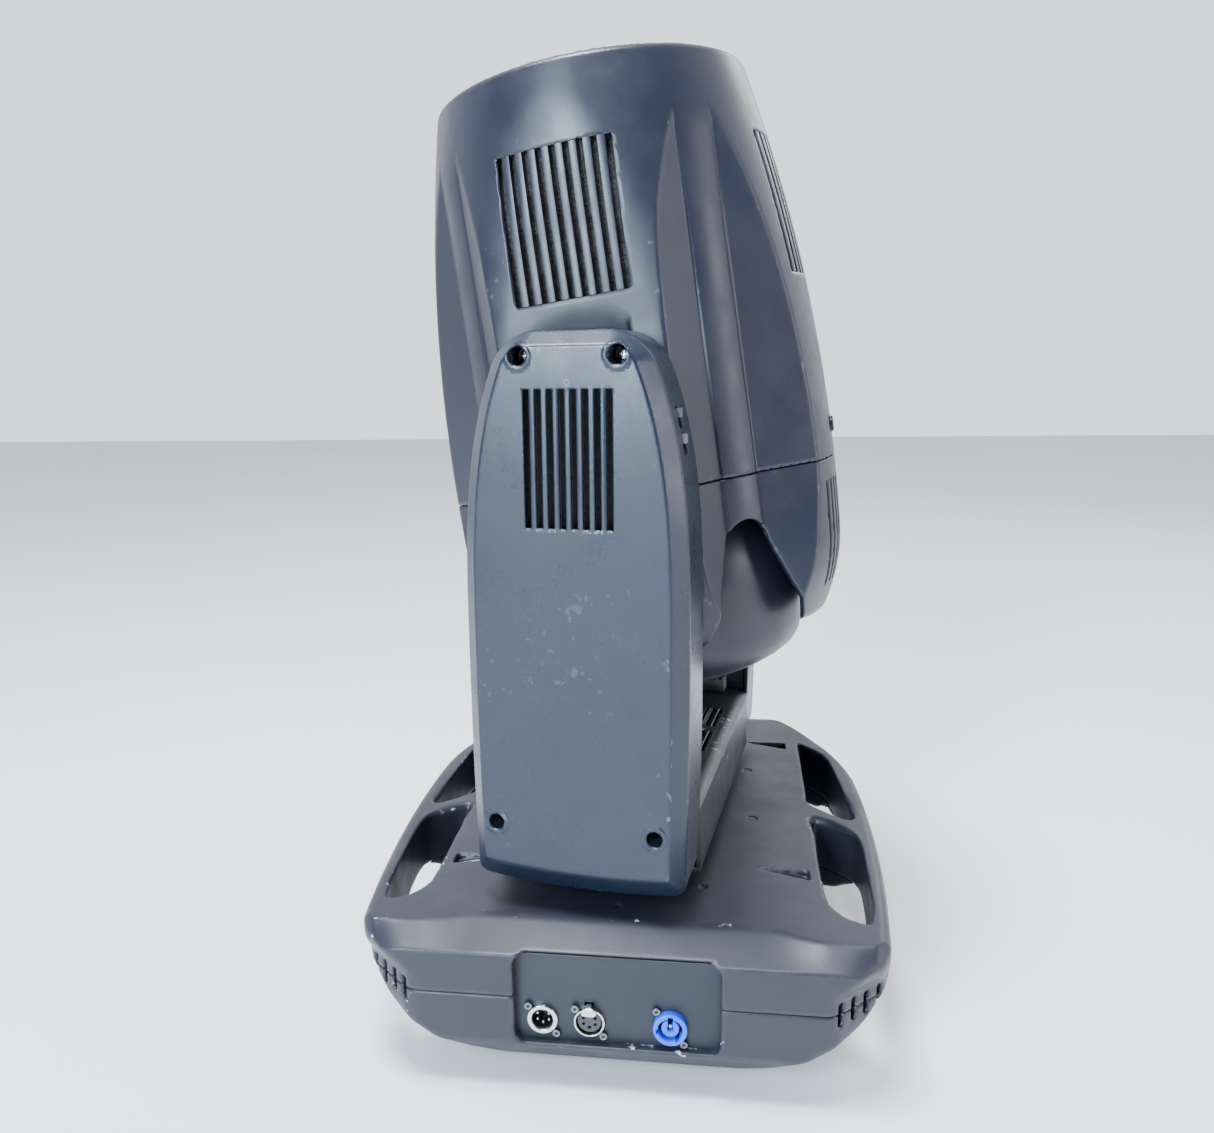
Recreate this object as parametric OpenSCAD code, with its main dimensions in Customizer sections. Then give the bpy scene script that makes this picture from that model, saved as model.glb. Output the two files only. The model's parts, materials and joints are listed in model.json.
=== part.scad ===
// Moving head wash light: a base with side handles, a yoke that pans on it and a head that tilts in the yoke.
// Millimetres, +Z up. The origin is under the middle of the base, on the plane that the feet stand on.

/* [Pose at rest] */
// Turn of the yoke on the base at rest, in degrees
pan_rest = -9; // [-20:1:20]
// Lean of the head in the yoke at rest, in degrees
tilt_rest = -8; // [-20:1:20]

/* [Base] */
// Width of the base over its side handles
base_w = 399; // [395:1:405]
// Distance from the pan axis to the front face, which holds the connectors
base_front = 232; // [230:1:235]
// Distance from the pan axis to the rear face, which holds the menu
base_rear = 256; // [254:1:260]
// Height of the flat top of the base
base_h = 117.4; // [116:0.2:119]
// Height of the joint between the lower and the upper base housing
split_z = 73; // [71:1:75]
// Height of the underside of the side handles
handle_z = 55; // [52:1:58]

/* [Truss plate] */
// Height of the underside of the steel base plate, which is also the height of the feet
plate_z = 8.5; // [8:0.5:9]
// Spacing of the threaded truss bracket holes across the base
truss_x = 160; // [150:1:164]
// Spacing of the threaded truss bracket holes along the base
truss_y = 230; // [226:1:240]
// Tapping radius of the M12 truss bracket holes
truss_r = 5.1; // [4:0.1:6]

/* [Connector panel] */
// Height of the connector centres
socket_z = 51.7; // [51:0.1:53]
// Sideways place of the data input
data_in_x = -52.7; // [-54:0.1:-50]
// Sideways place of the data output
data_thru_x = -19.5; // [-21:0.1:-17]
// Sideways place of the power inlet
power_x = 37; // [30:0.5:45]

/* [Yoke] */
// Height of the tilt axis above the floor
tilt_z = 443; // [440:1:446]
// Distance from the pan axis to the outer face of each arm
arm_outer = 201.2; // [200:0.2:203]
// Distance from the pan axis to the inner face of each arm
arm_inner = 137; // [137:0.5:138]
// Half width of the arms at their widest
arm_half_w = 79.4; // [78:0.2:81]
// Top of the arms
arm_top = 527; // [525:1:529]

/* [Head] */
// Largest radius of the head
head_r = 157; // [156:0.5:158]
// Distance from the tilt axis to the front rim
head_front = 272; // [268:1:275]
// Distance from the tilt axis to the end of the tail
head_tail = 195; // [194:1:196]
// Place of the joint between the front and the rear shroud, from the tilt axis
head_split = -34; // [-36:1:-32]
// Half width of the head between the arms
head_flat = 134.5; // [133:0.5:135]
// Radius of the ring on which the outer lenses sit
lens_ring = 66; // [64:1:68]

/* [Running fits] */
// Radial clearance of running shafts
run = 0.05; // [0.02:0.01:0.1]
// Radius of the tilt trunnions
trunnion_r = 15; // [14:0.5:16]
// Radius of the pan spindle
spindle_r = 30; // [28:0.5:32]

/* [Hidden] */
$fn = 96;
wall = 3.5;
shell = 3;
base_mid = (base_rear - base_front) / 2;
half_w = base_w / 2;
bottom_z = 5;
plate_t = 3;
chassis_z = 100;
chassis_t = 4;
floor_z = 134;
floor_t = 4;
belt_z = 173;
belt_h = 8;
pan_motor_y = -92;
pan_gear_r = 36;
tilt_gear_r = 40;
pinion_r = 10;
motor_w = 57;
shaft_r = 3;
tilt_motor_z = 250;
tilt_belt_y = 150;
arm_plate_y = 140;
bezel = 10.4;
bezel_depth = 12.5;
panel_y = base_front - 11.6;
panel_t = 2;
menu_y = base_rear - 10;
button_r = 5;
rod_ring = 104;
rod_r = 3;
carriage_s = 150;
fastener_s = -10;
steel = "lightsteelblue";
plastic = [0.22, 0.23, 0.27];
dark = [0.10, 0.10, 0.12];
metal = "silver";

// ---- Places -------------------------------------------------------------------------------------------

// Moves a shape drawn about the pan axis to its place in the part
module on_base() { translate([0, -base_mid, 0]) children(); }

// The same, turned with the yoke: the tilt axis runs along Y
module in_yoke() { on_base() rotate([0, 0, pan_rest]) children(); }

// The same, on the tilt axis and leaning with the head: the optical axis is Z
module in_head() { in_yoke() translate([0, 0, tilt_z]) rotate([0, tilt_rest, 0]) children(); }

// Draws an arm piece twice, once on each arm
module both_arms() {
  children();
  mirror([0, 1, 0]) children();
}

// ---- Shared shapes ------------------------------------------------------------------------------------

// Completes the right half of an outline with its mirror image
function mirrored(p) = concat(p, [for (i = [len(p) - 1:-1:0]) [-p[i][0], p[i][1]]]);

// A flat slab from the right half of its outline
module slab(z, h, half) {
  translate([0, 0, z]) linear_extrude(h) polygon(mirrored(half));
}

module tube(r_out, r_in, h) {
  difference() {
    cylinder(r = r_out, h = h);
    translate([0, 0, -1]) cylinder(r = r_in, h = h + 2);
  }
}

// A rectangle with round corners, centred
module round_rect(w, h, r) {
  square([w - 2 * r, h], center = true);
  square([w, h - 2 * r], center = true);
  for (x = [-1, 1], y = [-1, 1]) translate([x * (w / 2 - r), y * (h / 2 - r)]) circle(r);
}

// An upright rectangle with round corners that faces along Y, from y to y + t
module upright_rect(x, y, z, w, h, r, t) {
  translate([x, y + t, z]) rotate([90, 0, 0]) linear_extrude(t) round_rect(w, h, r);
}

// A cylinder along Y, from y to y + h
module rod_y(x, y, z, r, h) {
  translate([x, y, z]) rotate([-90, 0, 0]) cylinder(r = r, h = h);
}

// ---- Base housings ------------------------------------------------------------------------------------

// The sides of the base bow gently outwards
function side_x(y) = half_w - 0.00032 * y * y;
side_points = [for (y = [-180:30:60]) [side_x(y), y]];
rear_points = [
  [193, 102], [188, 130], [182, 150], [146, base_rear - 30], [138, base_rear - 18],
  [126, base_rear - 8], [112, base_rear - 2], [95, base_rear]
];

// Half outlines, from the front to the rear, at the heights where the form changes
waist = concat([[146, 1 - base_front], [188, -193]], side_points, rear_points);
brow = concat(
  [[148.5, -base_front], [160, 3 - base_front], [172, 9 - base_front], [183, 18 - base_front], [188, -203]],
  side_points, rear_points
);
crown = [
  [143, 21 - base_front], [177, 22 - base_front], [183, -203], [side_x(-180) - 6, -180],
  [half_w - 7, -90], [half_w - 6, 0], [half_w - 9, 60], [181, 128], [174, 150], [140, base_rear - 36],
  [118, base_rear - 22]
];
chin = [[136, 3 - base_front], [150, -190], [150, 170], [130, base_rear - 21], [116, base_rear - 4]];
sole = [[112, 35 - base_front], [122, -185], [122, 195], [108, base_rear - 34]];

// The closed outer form of both housings
module base_form() {
  hull() {
    slab(bottom_z, 1, sole);
    slab(35.5, 2, chin);
    slab(62, 18, waist);
    slab(104, 1.5, brow);
    slab(base_h - 0.5, 0.5, crown);
  }
}

// The room inside the housings
module base_room() {
  hull() {
    slab(plate_z, 0.5, [[112, 39 - base_front], [118, -185], [118, 190], [105, base_rear - 42]]);
    slab(38, 1, [[130, 9 - base_front], [142, -190], [142, 150], [127, base_rear - 31],
                 [108, base_rear - 11]]);
    slab(split_z, 31, [[140, 7 - base_front], [142, -215], [142, 150], [136, base_rear - 34],
                       [118, base_rear - 13], [95, base_rear - 7]]);
    slab(base_h - wall - 0.5, 0.5, [[138, 38 - base_front], [142, -190], [142, 150], [132, base_rear - 40],
                                    [108, base_rear - 34]]);
  }
}

// The hand holes beside the body, in front of and behind each cross bar
hand_front = [
  [146, -142], [147, -159], [152, -171], [161, -182], [175, -187], [179, -176], [185, -107], [186, -56],
  [183, -43], [176, -35], [157, -17], [150, -16]
];
hand_rear = [[149, 16], [155, 7], [182, -16], [186, -12], [185, 44], [178, 124], [166, 146], [151, 162]];
hand_under = [
  [146, -150], [152, -171], [161, -182], [175, -190], [220, -190], [220, 150], [168, 150], [152, 166],
  [146, 150]
];
module hand_holes() {
  for (side = [-1, 1]) scale([side, 1, 1]) {
    translate([0, 0, -1]) linear_extrude(base_h + 20) polygon(hand_front);
    translate([0, 0, -1]) linear_extrude(base_h + 20) polygon(hand_rear);
    translate([0, 0, -1]) linear_extrude(handle_z + 1) polygon(hand_under);
  }
}

// Five upright vents across the joint at each front corner
module corner_vents() {
  for (side = [-1, 1], i = [0:4])
    translate([side * (150 + 9.8 * i), 7 - base_front + 8.1 * i, split_z])
      rotate([0, 0, side * 40]) cube([5, 12, 18], center = true);
}

// The wide bevel above the connectors
module front_bevel() {
  translate([-118, 0, 0]) rotate([90, 0, 90]) linear_extrude(236)
    polygon([[-base_front - 9, 102], [32 - base_front, base_h], [32 - base_front, base_h + 9],
             [-base_front - 9, base_h + 9]]);
}

// Shallow wedge-shaped scoops in the flat top
module top_scoops() {
  for (side = [-1, 1], y = [-128, 142]) scale([side, 1, 1])
    translate([97, y, base_h]) rotate([0, 3.5, 0]) cube([41, 18, 9]);
}

module panel_window(w, z0, z1, y, t, r) {
  upright_rect(0, y, (z0 + z1) / 2, w, z1 - z0, r, t);
}

// Frames that hold the connector panel and the menu panel in their recesses
module recess_frames() {
  intersection() {
    base_form();
    union() {
      panel_window(150, 32.5, 108, -base_front, 13.6, 10);
      panel_window(126, 38, 103, menu_y - 2, 12, 10);
    }
  }
}

module recess_windows() {
  panel_window(143, 36, 105, -base_front - 10, 40, 7);
  panel_window(118, 42, 99, menu_y - 20, 40, 7);
}

module base_shell() {
  difference() {
    union() {
      difference() {
        base_form();
        base_room();
      }
      recess_frames();
    }
    hand_holes();
    corner_vents();
    recess_windows();
  }
}

module base_lower_housing() {
  color(plastic) on_base() difference() {
    base_shell();
    translate([-300, -300, split_z]) cube([600, 600, 100]);
    slab(0, 20, [[108, -182], [108, 188]]);
  }
}

screw_spots = [[-99, -23], [99, -23], [-98, 83], [98, 83]];

module base_upper_housing() {
  color(plastic) on_base() difference() {
    base_shell();
    translate([-300, -300, split_z - 200]) cube([600, 600, 200]);
    front_bevel();
    top_scoops();
    cylinder(r = spindle_r + 4, h = 200);
    for (p = screw_spots) translate([p[0], p[1], 100]) {
      cylinder(r = 2.2, h = 30);
      translate([0, 0, base_h - 100 - 1.5]) cylinder(r = 4, h = 9);
    }
  }
}

// ---- Base internals -----------------------------------------------------------------------------------

module base_plate() {
  color(steel) on_base() difference() {
    union() {
      translate([-114, -188, plate_z]) cube([228, 382, plate_t]);
      for (x = [-1, 1], y = [-1, 1])
        translate([x * truss_x / 2, y * truss_y / 2, plate_z]) cylinder(r = 10, h = 13);
    }
    for (x = [-1, 1], y = [-1, 1])
      translate([x * truss_x / 2, y * truss_y / 2, plate_z - 1]) cylinder(r = truss_r, h = 15);
  }
}

module rubber_feet() {
  color(dark) on_base()
    for (x = [-86, 86], y = [-160, 168]) translate([x, y, 0]) rotate_extrude()
      polygon([[0, 1.5], [6, 1.5], [7, 0], [15, 0], [17, 2], [18, plate_z], [0, plate_z]]);
}

// A steel bridge that carries the spindle above the electronics
module base_chassis() {
  color(steel) on_base() difference() {
    union() {
      translate([-107, -90, chassis_z]) cube([214, 180, chassis_t]);
      for (x = [-107, 104])
        translate([x, -90, plate_z + plate_t]) cube([3, 180, chassis_z - plate_z - plate_t]);
    }
    translate([0, 0, chassis_z - 1]) cylinder(r = 22, h = 10);
  }
}

module power_supply() {
  color(metal) on_base() difference() {
    translate([-98, -95, plate_z + plate_t]) cube([90, 190, 50]);
    for (i = [-6:6]) translate([-90, i * 13 - 3, plate_z + plate_t + 45]) cube([74, 6, 10]);
  }
}

module control_board() {
  color("darkgreen") on_base() {
    translate([8, -95, 24]) cube([90, 190, 2]);
    for (x = [14, 92], y = [-89, 89])
      translate([x, y, plate_z + plate_t]) cylinder(r = 3, h = 24 - plate_z - plate_t);
    for (y = [-70, -30, 20, 60]) translate([20, y, 26]) cube([22, 18, 6]);
    for (y = [-60, 0, 50]) translate([72, y, 26]) cylinder(r = 8, h = 22);
  }
}

// Screws of the connectors and of the upper housing
module base_screws() {
  color(metal) on_base() {
    for (s = [[data_in_x, 9.9, 9.9], [data_thru_x, 9.9, 9.9], [power_x, 9.5, 12]], k = [-1, 1]) {
      rod_y(s[0] + k * s[1], -panel_y - 2.8, socket_z - k * s[2], 2.6, 1.3);
      rod_y(s[0] + k * s[1], -panel_y - 1.5, socket_z - k * s[2], 1.4, 8);
    }
    for (p = screw_spots) translate([p[0], p[1], chassis_z + chassis_t]) {
      cylinder(r = 2, h = base_h - chassis_z - chassis_t - 0.5);
      translate([0, 0, base_h - chassis_z - chassis_t - 1.5]) cylinder(r = 3.6, h = 1.2);
    }
  }
}

// ---- Connector panel ----------------------------------------------------------------------------------

module connector_panel() {
  color(dark) on_base() difference() {
    panel_window(143, 36, 105, -panel_y, panel_t, 7);
    rod_y(data_in_x, -panel_y - 1, socket_z, 11, 10);
    rod_y(data_thru_x, -panel_y - 1, socket_z, 11, 10);
    rod_y(power_x, -panel_y - 1, socket_z, 12.1, 10);
    latch_slot();
    for (s = [[data_in_x, 9.9, 9.9], [data_thru_x, 9.9, 9.9], [power_x, 9.5, 12]], k = [-1, 1])
      rod_y(s[0] + k * s[1], -panel_y - 1, socket_z - k * s[2], 1.6, 10);
  }
}

// A square flange in front of the panel, with its two screw holes
module socket_flange(x, hole, dx, dz) {
  difference() {
    upright_rect(x, -panel_y - 1.5, socket_z, 26, 30, 3, 1.5);
    rod_y(x, -panel_y - 3, socket_z, hole, 6);
    for (k = [-1, 1]) rod_y(x + k * dx, -panel_y - 3, socket_z - k * dz, 1.6, 6);
  }
}

module socket_cup(x, r_out, r_in, front, depth) {
  difference() {
    rod_y(x, -panel_y - front, socket_z, r_out, front + depth);
    rod_y(x, -panel_y - front - 1, socket_z, r_in, front + depth - 3);
  }
}

// Five contacts on a circle, with the key side left open
function pin_place(x, i) = [x + 4.6 * cos(90 + 60 * i), socket_z + 4.6 * sin(90 + 60 * i)];

module data_in_connector() {
  color(metal) on_base() {
    socket_flange(data_in_x, 10.9, 9.9, 9.9);
    socket_cup(data_in_x, 10.9, 9.3, 3, 20);
    for (i = [1:5]) rod_y(pin_place(data_in_x, i)[0], -panel_y + 3, pin_place(data_in_x, i)[1], 1.2, 15);
  }
}

module latch_slot() {
  translate([data_thru_x - 3.4, -panel_y - 6, socket_z + 11.4]) cube([6.8, 16, 3]);
}

module data_thru_connector() {
  color(metal) on_base() difference() {
    union() {
      socket_flange(data_thru_x, 10.9, 9.9, 9.9);
      socket_cup(data_thru_x, 10.9, 9.4, 3, 20);
      rod_y(data_thru_x, -panel_y + 1, socket_z, 7.8, 17);
    }
    latch_slot();
    for (i = [1:5])
      rod_y(pin_place(data_thru_x, i)[0], -panel_y - 1, pin_place(data_thru_x, i)[1], 1.3, 14);
  }
}

// The push tab that frees a plug
module data_thru_latch() {
  color(metal) on_base()
    upright_rect(data_thru_x, -panel_y - 4, socket_z + 12.9, 6, 2.4, 0.8, 5.5);
}

module power_inlet() {
  color([0.12, 0.25, 0.80]) on_base() {
    socket_flange(power_x, 12, 9.5, 12);
    socket_cup(power_x, 12, 9.5, 6, 24);
    rod_y(power_x, -panel_y - 2, socket_z, 4.5, 24);
    for (a = [30, 150, 270])
      rod_y(power_x + 7.9 * cos(a), -panel_y + 4, socket_z + 7.9 * sin(a), 0.9, 18);
  }
}

// ---- Menu panel ---------------------------------------------------------------------------------------

menu_z = 70.5;
pad_x = -34;
pad_step = 13;

module menu_panel() {
  color(dark) on_base() difference() {
    panel_window(118, 42, 99, menu_y - 2, 2, 7);
    upright_rect(17, menu_y - 3, menu_z, 66, 34, 2, 6);
    for (p = [[0, 0], [0, 1], [0, -1], [1, 0], [-1, 0]])
      rod_y(pad_x + pad_step * p[0], menu_y - 4, menu_z + pad_step * p[1], button_r + 0.4, 8);
  }
}

module menu_screen() {
  color([0.15, 0.20, 0.25, 0.8]) on_base() upright_rect(17, menu_y - 2, menu_z, 66, 34, 2, 2.5);
}

module menu_button(px, pz) {
  color([0.35, 0.36, 0.38]) on_base() {
    rod_y(pad_x + pad_step * px, menu_y - 3, menu_z + pad_step * pz, button_r, 6);
    rod_y(pad_x + pad_step * px, menu_y - 4.5, menu_z + pad_step * pz, button_r + 1.2, 1.5);
  }
}
module menu_button_up() { menu_button(0, 1); }
module menu_button_down() { menu_button(0, -1); }
module menu_button_left() { menu_button(-1, 0); }
module menu_button_right() { menu_button(1, 0); }
module menu_button_enter() { menu_button(0, 0); }

// ---- Pan axis -----------------------------------------------------------------------------------------

module pan_spindle() {
  color(steel) on_base() difference() {
    union() {
      translate([0, 0, chassis_z + chassis_t]) cylinder(r = 50, h = 6);
      translate([0, 0, chassis_z + chassis_t])
        cylinder(r = spindle_r, h = belt_z + belt_h + 1 - chassis_z - chassis_t);
    }
    translate([0, 0, chassis_z]) cylinder(r = 20, h = 100);
  }
}

module pan_pulley() {
  color(metal) on_base() translate([0, 0, belt_z]) {
    tube(pan_gear_r, spindle_r, belt_h);
    tube(pan_gear_r + 3, spindle_r, 0.8);
    translate([0, 0, belt_h - 0.8]) tube(pan_gear_r + 3, spindle_r, 0.8);
  }
}

bearing_pan_r = 42;
bearing_pan_h = 16;

module pan_bearing() {
  color(steel) in_yoke() translate([0, 0, floor_z - 2]) tube(bearing_pan_r, spindle_r + run, bearing_pan_h);
}

// A flat belt round a wheel at the origin and a pinion at distance d along X
module belt_loop(r, d, h) {
  linear_extrude(h) difference() {
    hull() {
      circle(r + 2.3);
      translate([d, 0]) circle(pinion_r + 2.3);
    }
    hull() {
      circle(r + 0.4);
      translate([d, 0]) circle(pinion_r + 0.4);
    }
  }
}

module pan_belt() {
  color(dark) in_yoke() translate([0, 0, belt_z + 1.2]) rotate([0, 0, -90])
    belt_loop(pan_gear_r, -pan_motor_y, belt_h - 2.4, $fn = 64);
}

// A square motor, with its shaft bore along Z
module motor(h) {
  difference() {
    union() {
      translate([0, 0, h / 2]) cube([motor_w, motor_w, h], center = true);
      cylinder(r = 19, h = h + 1.5);
    }
    translate([0, 0, h - 18]) cylinder(r = shaft_r + run, h = 40);
  }
}

// A pinion on its shaft: the shaft starts at z = 0 and the teeth at z = stand
module pinion(stand, h) {
  cylinder(r = shaft_r, h = stand + h);
  translate([0, 0, stand]) cylinder(r = pinion_r, h = h);
}

module pan_motor() {
  color(dark) in_yoke() translate([0, pan_motor_y, floor_z + floor_t]) motor(31);
}

module pan_pinion() {
  color(metal) in_yoke() translate([0, pan_motor_y, floor_z + floor_t + 14])
    pinion(belt_z - floor_z - floor_t - 14, belt_h);
}

// ---- Yoke ---------------------------------------------------------------------------------------------

// Half width of the arms at height z
function arm_half(z) =
  z < 300 ? arm_half_w - 2.4 * pow((300 - z) / 150, 2) : arm_half_w - 3.2e-7 * pow(z - 300, 3.4);

// Half outline of an arm, inset all round, with its foot at the given height
function arm_outline(inset, foot) = concat(
  [[arm_half(foot) - inset - 12, foot], [arm_half(foot) - inset - 3, foot + 4]],
  [for (z = [foot + 14:16:arm_top - 22]) [arm_half(z) - inset, z]],
  [for (a = [0:15:90]) [34 + (22 - inset) * cos(a), arm_top - 22 + (22 - inset) * sin(a)]]
);

// A plate in the shape of the arm, from y0 to y1 on the positive side
module arm_plate(y0, y1, inset, foot) {
  translate([0, y1, 0]) rotate([90, 0, 0]) linear_extrude(y1 - y0)
    polygon(mirrored(arm_outline(inset, foot)));
}

module arm_hub(r, y0, y1) { rod_y(0, y0, tilt_z, r, y1 - y0); }

bearing_r = 24;
bearing_y = 139;
bearing_h = 10;

module yoke_frame() {
  color(steel) in_yoke() difference() {
    union() {
      translate([-60, -arm_plate_y - 4, floor_z]) cube([120, 2 * arm_plate_y + 8, floor_t]);
      translate([0, 0, floor_z - 4]) cylinder(r = 50, h = 18);
      both_arms() {
        arm_plate(arm_plate_y, arm_plate_y + 4, 5, floor_z + 1);
        arm_hub(34, bearing_y, bearing_y + bearing_h);
        for (x = [-60, 57]) translate([x, 105, floor_z + floor_t]) rotate([90, 0, 90]) linear_extrude(3)
          polygon([[0, 0], [35, 0], [35, 38]]);
      }
    }
    translate([0, 0, floor_z - 9]) cylinder(r = bearing_pan_r, h = 40);
    both_arms() {
      arm_hub(bearing_r, bearing_y - 5, bearing_y + bearing_h + 5);
      rod_y(0, arm_plate_y - 9, 350, 16, 20);
      rod_y(0, arm_plate_y - 9, 190, 16, 20);
    }
  }
}

arm_screws = [[33.6, arm_top - 16.5], [57.5, 183.7]];
lock_tabs = [455, 472];
lock_y = 167;

module arm_cover() {
  difference() {
    union() {
      difference() {
        hull() {
          arm_plate(arm_inner, arm_outer - bezel_depth, 0, 130);
          arm_plate(arm_outer - 0.5, arm_outer, bezel, 150);
        }
        hull() {
          arm_plate(arm_inner - 1, arm_outer - bezel_depth - 2, wall, 130 + wall);
          arm_plate(arm_outer - wall - 0.5, arm_outer - wall, bezel + 2, 153);
        }
      }
      for (p = arm_screws, s = [-1, 1])
        rod_y(s * p[0], arm_inner + 23, p[1], 8, arm_outer - wall - arm_inner - 23);
    }
    for (p = arm_screws, s = [-1, 1]) {
      rod_y(s * p[0], arm_inner, p[1], 2.2, 90);
      rod_y(s * p[0], arm_outer - 20, p[1], 6, 30);
    }
    for (i = [0:7]) translate([-30.2 + i * 8.06, arm_outer - 9, 397]) cube([4, 20, 92]);
  }
}

module arm_cover_near() {
  color(plastic) in_yoke() mirror([0, 1, 0]) difference() {
    arm_cover();
    for (z = lock_tabs) translate([arm_half(z) - 12, lock_y - 6, z - 10]) cube([20, 12, 14]);
  }
}
module arm_cover_far() { color(plastic) in_yoke() arm_cover(); }

module arm_cover_screws() {
  color(metal) in_yoke() both_arms() for (p = arm_screws, s = [-1, 1]) {
    rod_y(s * p[0], arm_plate_y + 4, p[1], 2, arm_outer - 23 - arm_plate_y - 4);
    rod_y(s * p[0], arm_outer - 20, p[1], 4, 3);
    rod_y(s * p[0], arm_outer - 24, p[1], 2, 5);
  }
}

module tilt_bearings() {
  color(steel) in_yoke() both_arms() translate([0, bearing_y, tilt_z]) rotate([-90, 0, 0])
    tube(bearing_r, trunnion_r + run, bearing_h);
}

cover_y = arm_inner - 0.2;
module yoke_top_cover() {
  color(plastic) in_yoke() difference() {
    translate([0, cover_y, 0]) rotate([90, 0, 0]) linear_extrude(2 * cover_y)
      polygon(mirrored([[78, floor_z], [78, 178], [76, 183], [70, 186], [50, 188]]));
    translate([0, cover_y + 1, 0]) rotate([90, 0, 0]) linear_extrude(2 * cover_y + 2)
      polygon(mirrored([[75, floor_z - 1], [75, 177], [73, 180.5], [68, 183], [49, 185]]));
    for (x = [-62, -56, -50, -44, 44, 50, 56, 62], y = [-95, -35, 25])
      translate([x - 1.2, y, 170]) cube([2.4, 46, 40]);
  }
}

module yoke_bottom_cover() {
  color(plastic) in_yoke() translate([0, 0, floor_z - 4]) difference() {
    translate([-78, -cover_y, 0]) cube([156, 2 * cover_y, 4]);
    translate([0, 0, -1]) cylinder(r = 51, h = 6);
  }
}

module tilt_motor() {
  color(dark) in_yoke() translate([0, -196.5, tilt_motor_z]) rotate([-90, 0, 0]) motor(36);
}

module tilt_pinion() {
  color(metal) in_yoke() translate([0, -174, tilt_motor_z]) rotate([-90, 0, 0]) pinion(17, 7);
}

module tilt_belt() {
  color(dark) in_yoke() translate([0, -tilt_belt_y - 1.2, tilt_z]) rotate([90, 90, 0])
    belt_loop(tilt_gear_r, tilt_z - tilt_motor_z, 5, $fn = 64);
}

module motor_driver_board() {
  color("darkgreen") in_yoke() {
    translate([-50, arm_plate_y + 10, 225]) cube([100, 2, 150]);
    for (x = [-44, 44], z = [231, 369]) rod_y(x, arm_plate_y + 4, z, 3, 6);
    for (z = [240, 275, 310, 345]) translate([-30, arm_plate_y + 12, z]) cube([24, 8, 16]);
    for (z = [240, 290, 340]) translate([15, arm_plate_y + 12, z]) cube([18, 14, 22]);
  }
}

// A ribbed slider on the yoke floor
module pan_lock() {
  color(metal) in_yoke() translate([28, 116, 188.4]) difference() {
    cube([30, 18, 14]);
    for (i = [0:4]) translate([3 + 5.5 * i, -1, 11]) cube([2.5, 20, 5]);
  }
}

// A slider inside the near arm, with two finger tabs that stand out of its side
module tilt_lock() {
  color(metal) in_yoke() {
    translate([54, -lock_y - 12, 444]) cube([2, 24, 38]);
    for (z = lock_tabs) translate([54, -lock_y - 4.5, z - 3]) cube([arm_half(z) - 52, 9, 6]);
  }
}

// ---- Head ---------------------------------------------------------------------------------------------

// Radius of the barrel at distance s along the optical axis
function barrel(s) = head_r - 0.000395 * (s + 25) * (s + 25);

module barrel_solid(from, to, cut) {
  rotate_extrude()
    polygon(concat(
      [[0, from]],
      [for (i = [0:16]) let (s = from + (to - from) * i / 16) [barrel(s) - cut, s]],
      [[0, to]]
    ));
}

// The space between the arms, which flattens two sides of the head
module flats(cut) {
  translate([-200, cut - head_flat, -210]) cube([400, 2 * (head_flat - cut), 500]);
}

// Four ribbed channels, which part the head's panels along the diagonals
module channels(cut) {
  floor_u = 131.5 - cut;
  rib = 15.5 - cut;
  crown = floor_u + 2;
  meet = 1.25 * (floor_u - 0.2 * rib);
  translate([0, 0, -210]) linear_extrude(500) polygon([
    for (a = [45:90:315], q = [[floor_u, -rib], [crown, -rib], [crown, rib], [floor_u, rib], [meet, meet]])
      [q[0] * cos(a) - q[1] * sin(a), q[0] * sin(a) + q[1] * cos(a)]
  ]);
}

// A row of long slots in a panel that faces along X
module panel_slots(count, pitch, s0, s1) {
  for (i = [0:count - 1]) translate([90, (i - (count - 1) / 2) * pitch - 2.5, s0]) cube([110, 5, s1 - s0]);
}

module head_front_shroud() {
  color(plastic) in_head() difference() {
    intersection() {
      barrel_solid(head_split, head_front, 0);
      flats(0);
      channels(0);
    }
    intersection() {
      barrel_solid(head_split - 1, head_front + 1, shell);
      flats(shell);
      channels(shell);
    }
    rod_y(0, -200, 0, trunnion_r + 3, 400);
    for (a = [0:90:270]) rotate([0, 0, a]) panel_slots(9, 10, 108, 212);
    for (x = [-148, 148])
      translate([x, 0, fastener_s]) rotate([0, 90, 0]) cylinder(r = 3.2, h = 30, center = true);
  }
}

// The arches that leave the rear shroud as four tongues
module arches() {
  for (a = [45:90:315]) rotate([0, 0, a]) translate([100, 0, -86]) rotate([0, 90, 0]) linear_extrude(100) {
    circle(r = 20);
    polygon([[0, -20], [0, 20], [100, 58], [100, -58]]);
  }
}

module rear_solid(cut) {
  rotate_extrude() polygon([
    [0, head_split + cut], [barrel(head_split) - cut, head_split + cut], [barrel(-86) - cut, -86],
    [150 - cut, -125], [145 - cut, -143], [136 - cut, -162 - cut], [0, -162 - cut]
  ]);
}

module head_rear_shroud() {
  color(plastic) in_head() difference() {
    intersection() {
      rear_solid(0);
      flats(0);
      channels(0);
    }
    intersection() {
      rear_solid(shell);
      flats(shell);
      channels(shell);
    }
    arches();
    for (a = [0, 180]) rotate([0, 0, a]) panel_slots(9, 10, -130, -50);
  }
}

// The tail ends in a bevelled ring, which the cap closes
module tail_housing() {
  color(plastic) in_head() rotate_extrude() polygon([
    [119, -62], [118, -120], [116, -161], [110, -178], [90, -190], [80, -190], [80, -187], [89, -187],
    [107, -176], [113, -160], [115, -120], [116, -62]
  ]);
}

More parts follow.
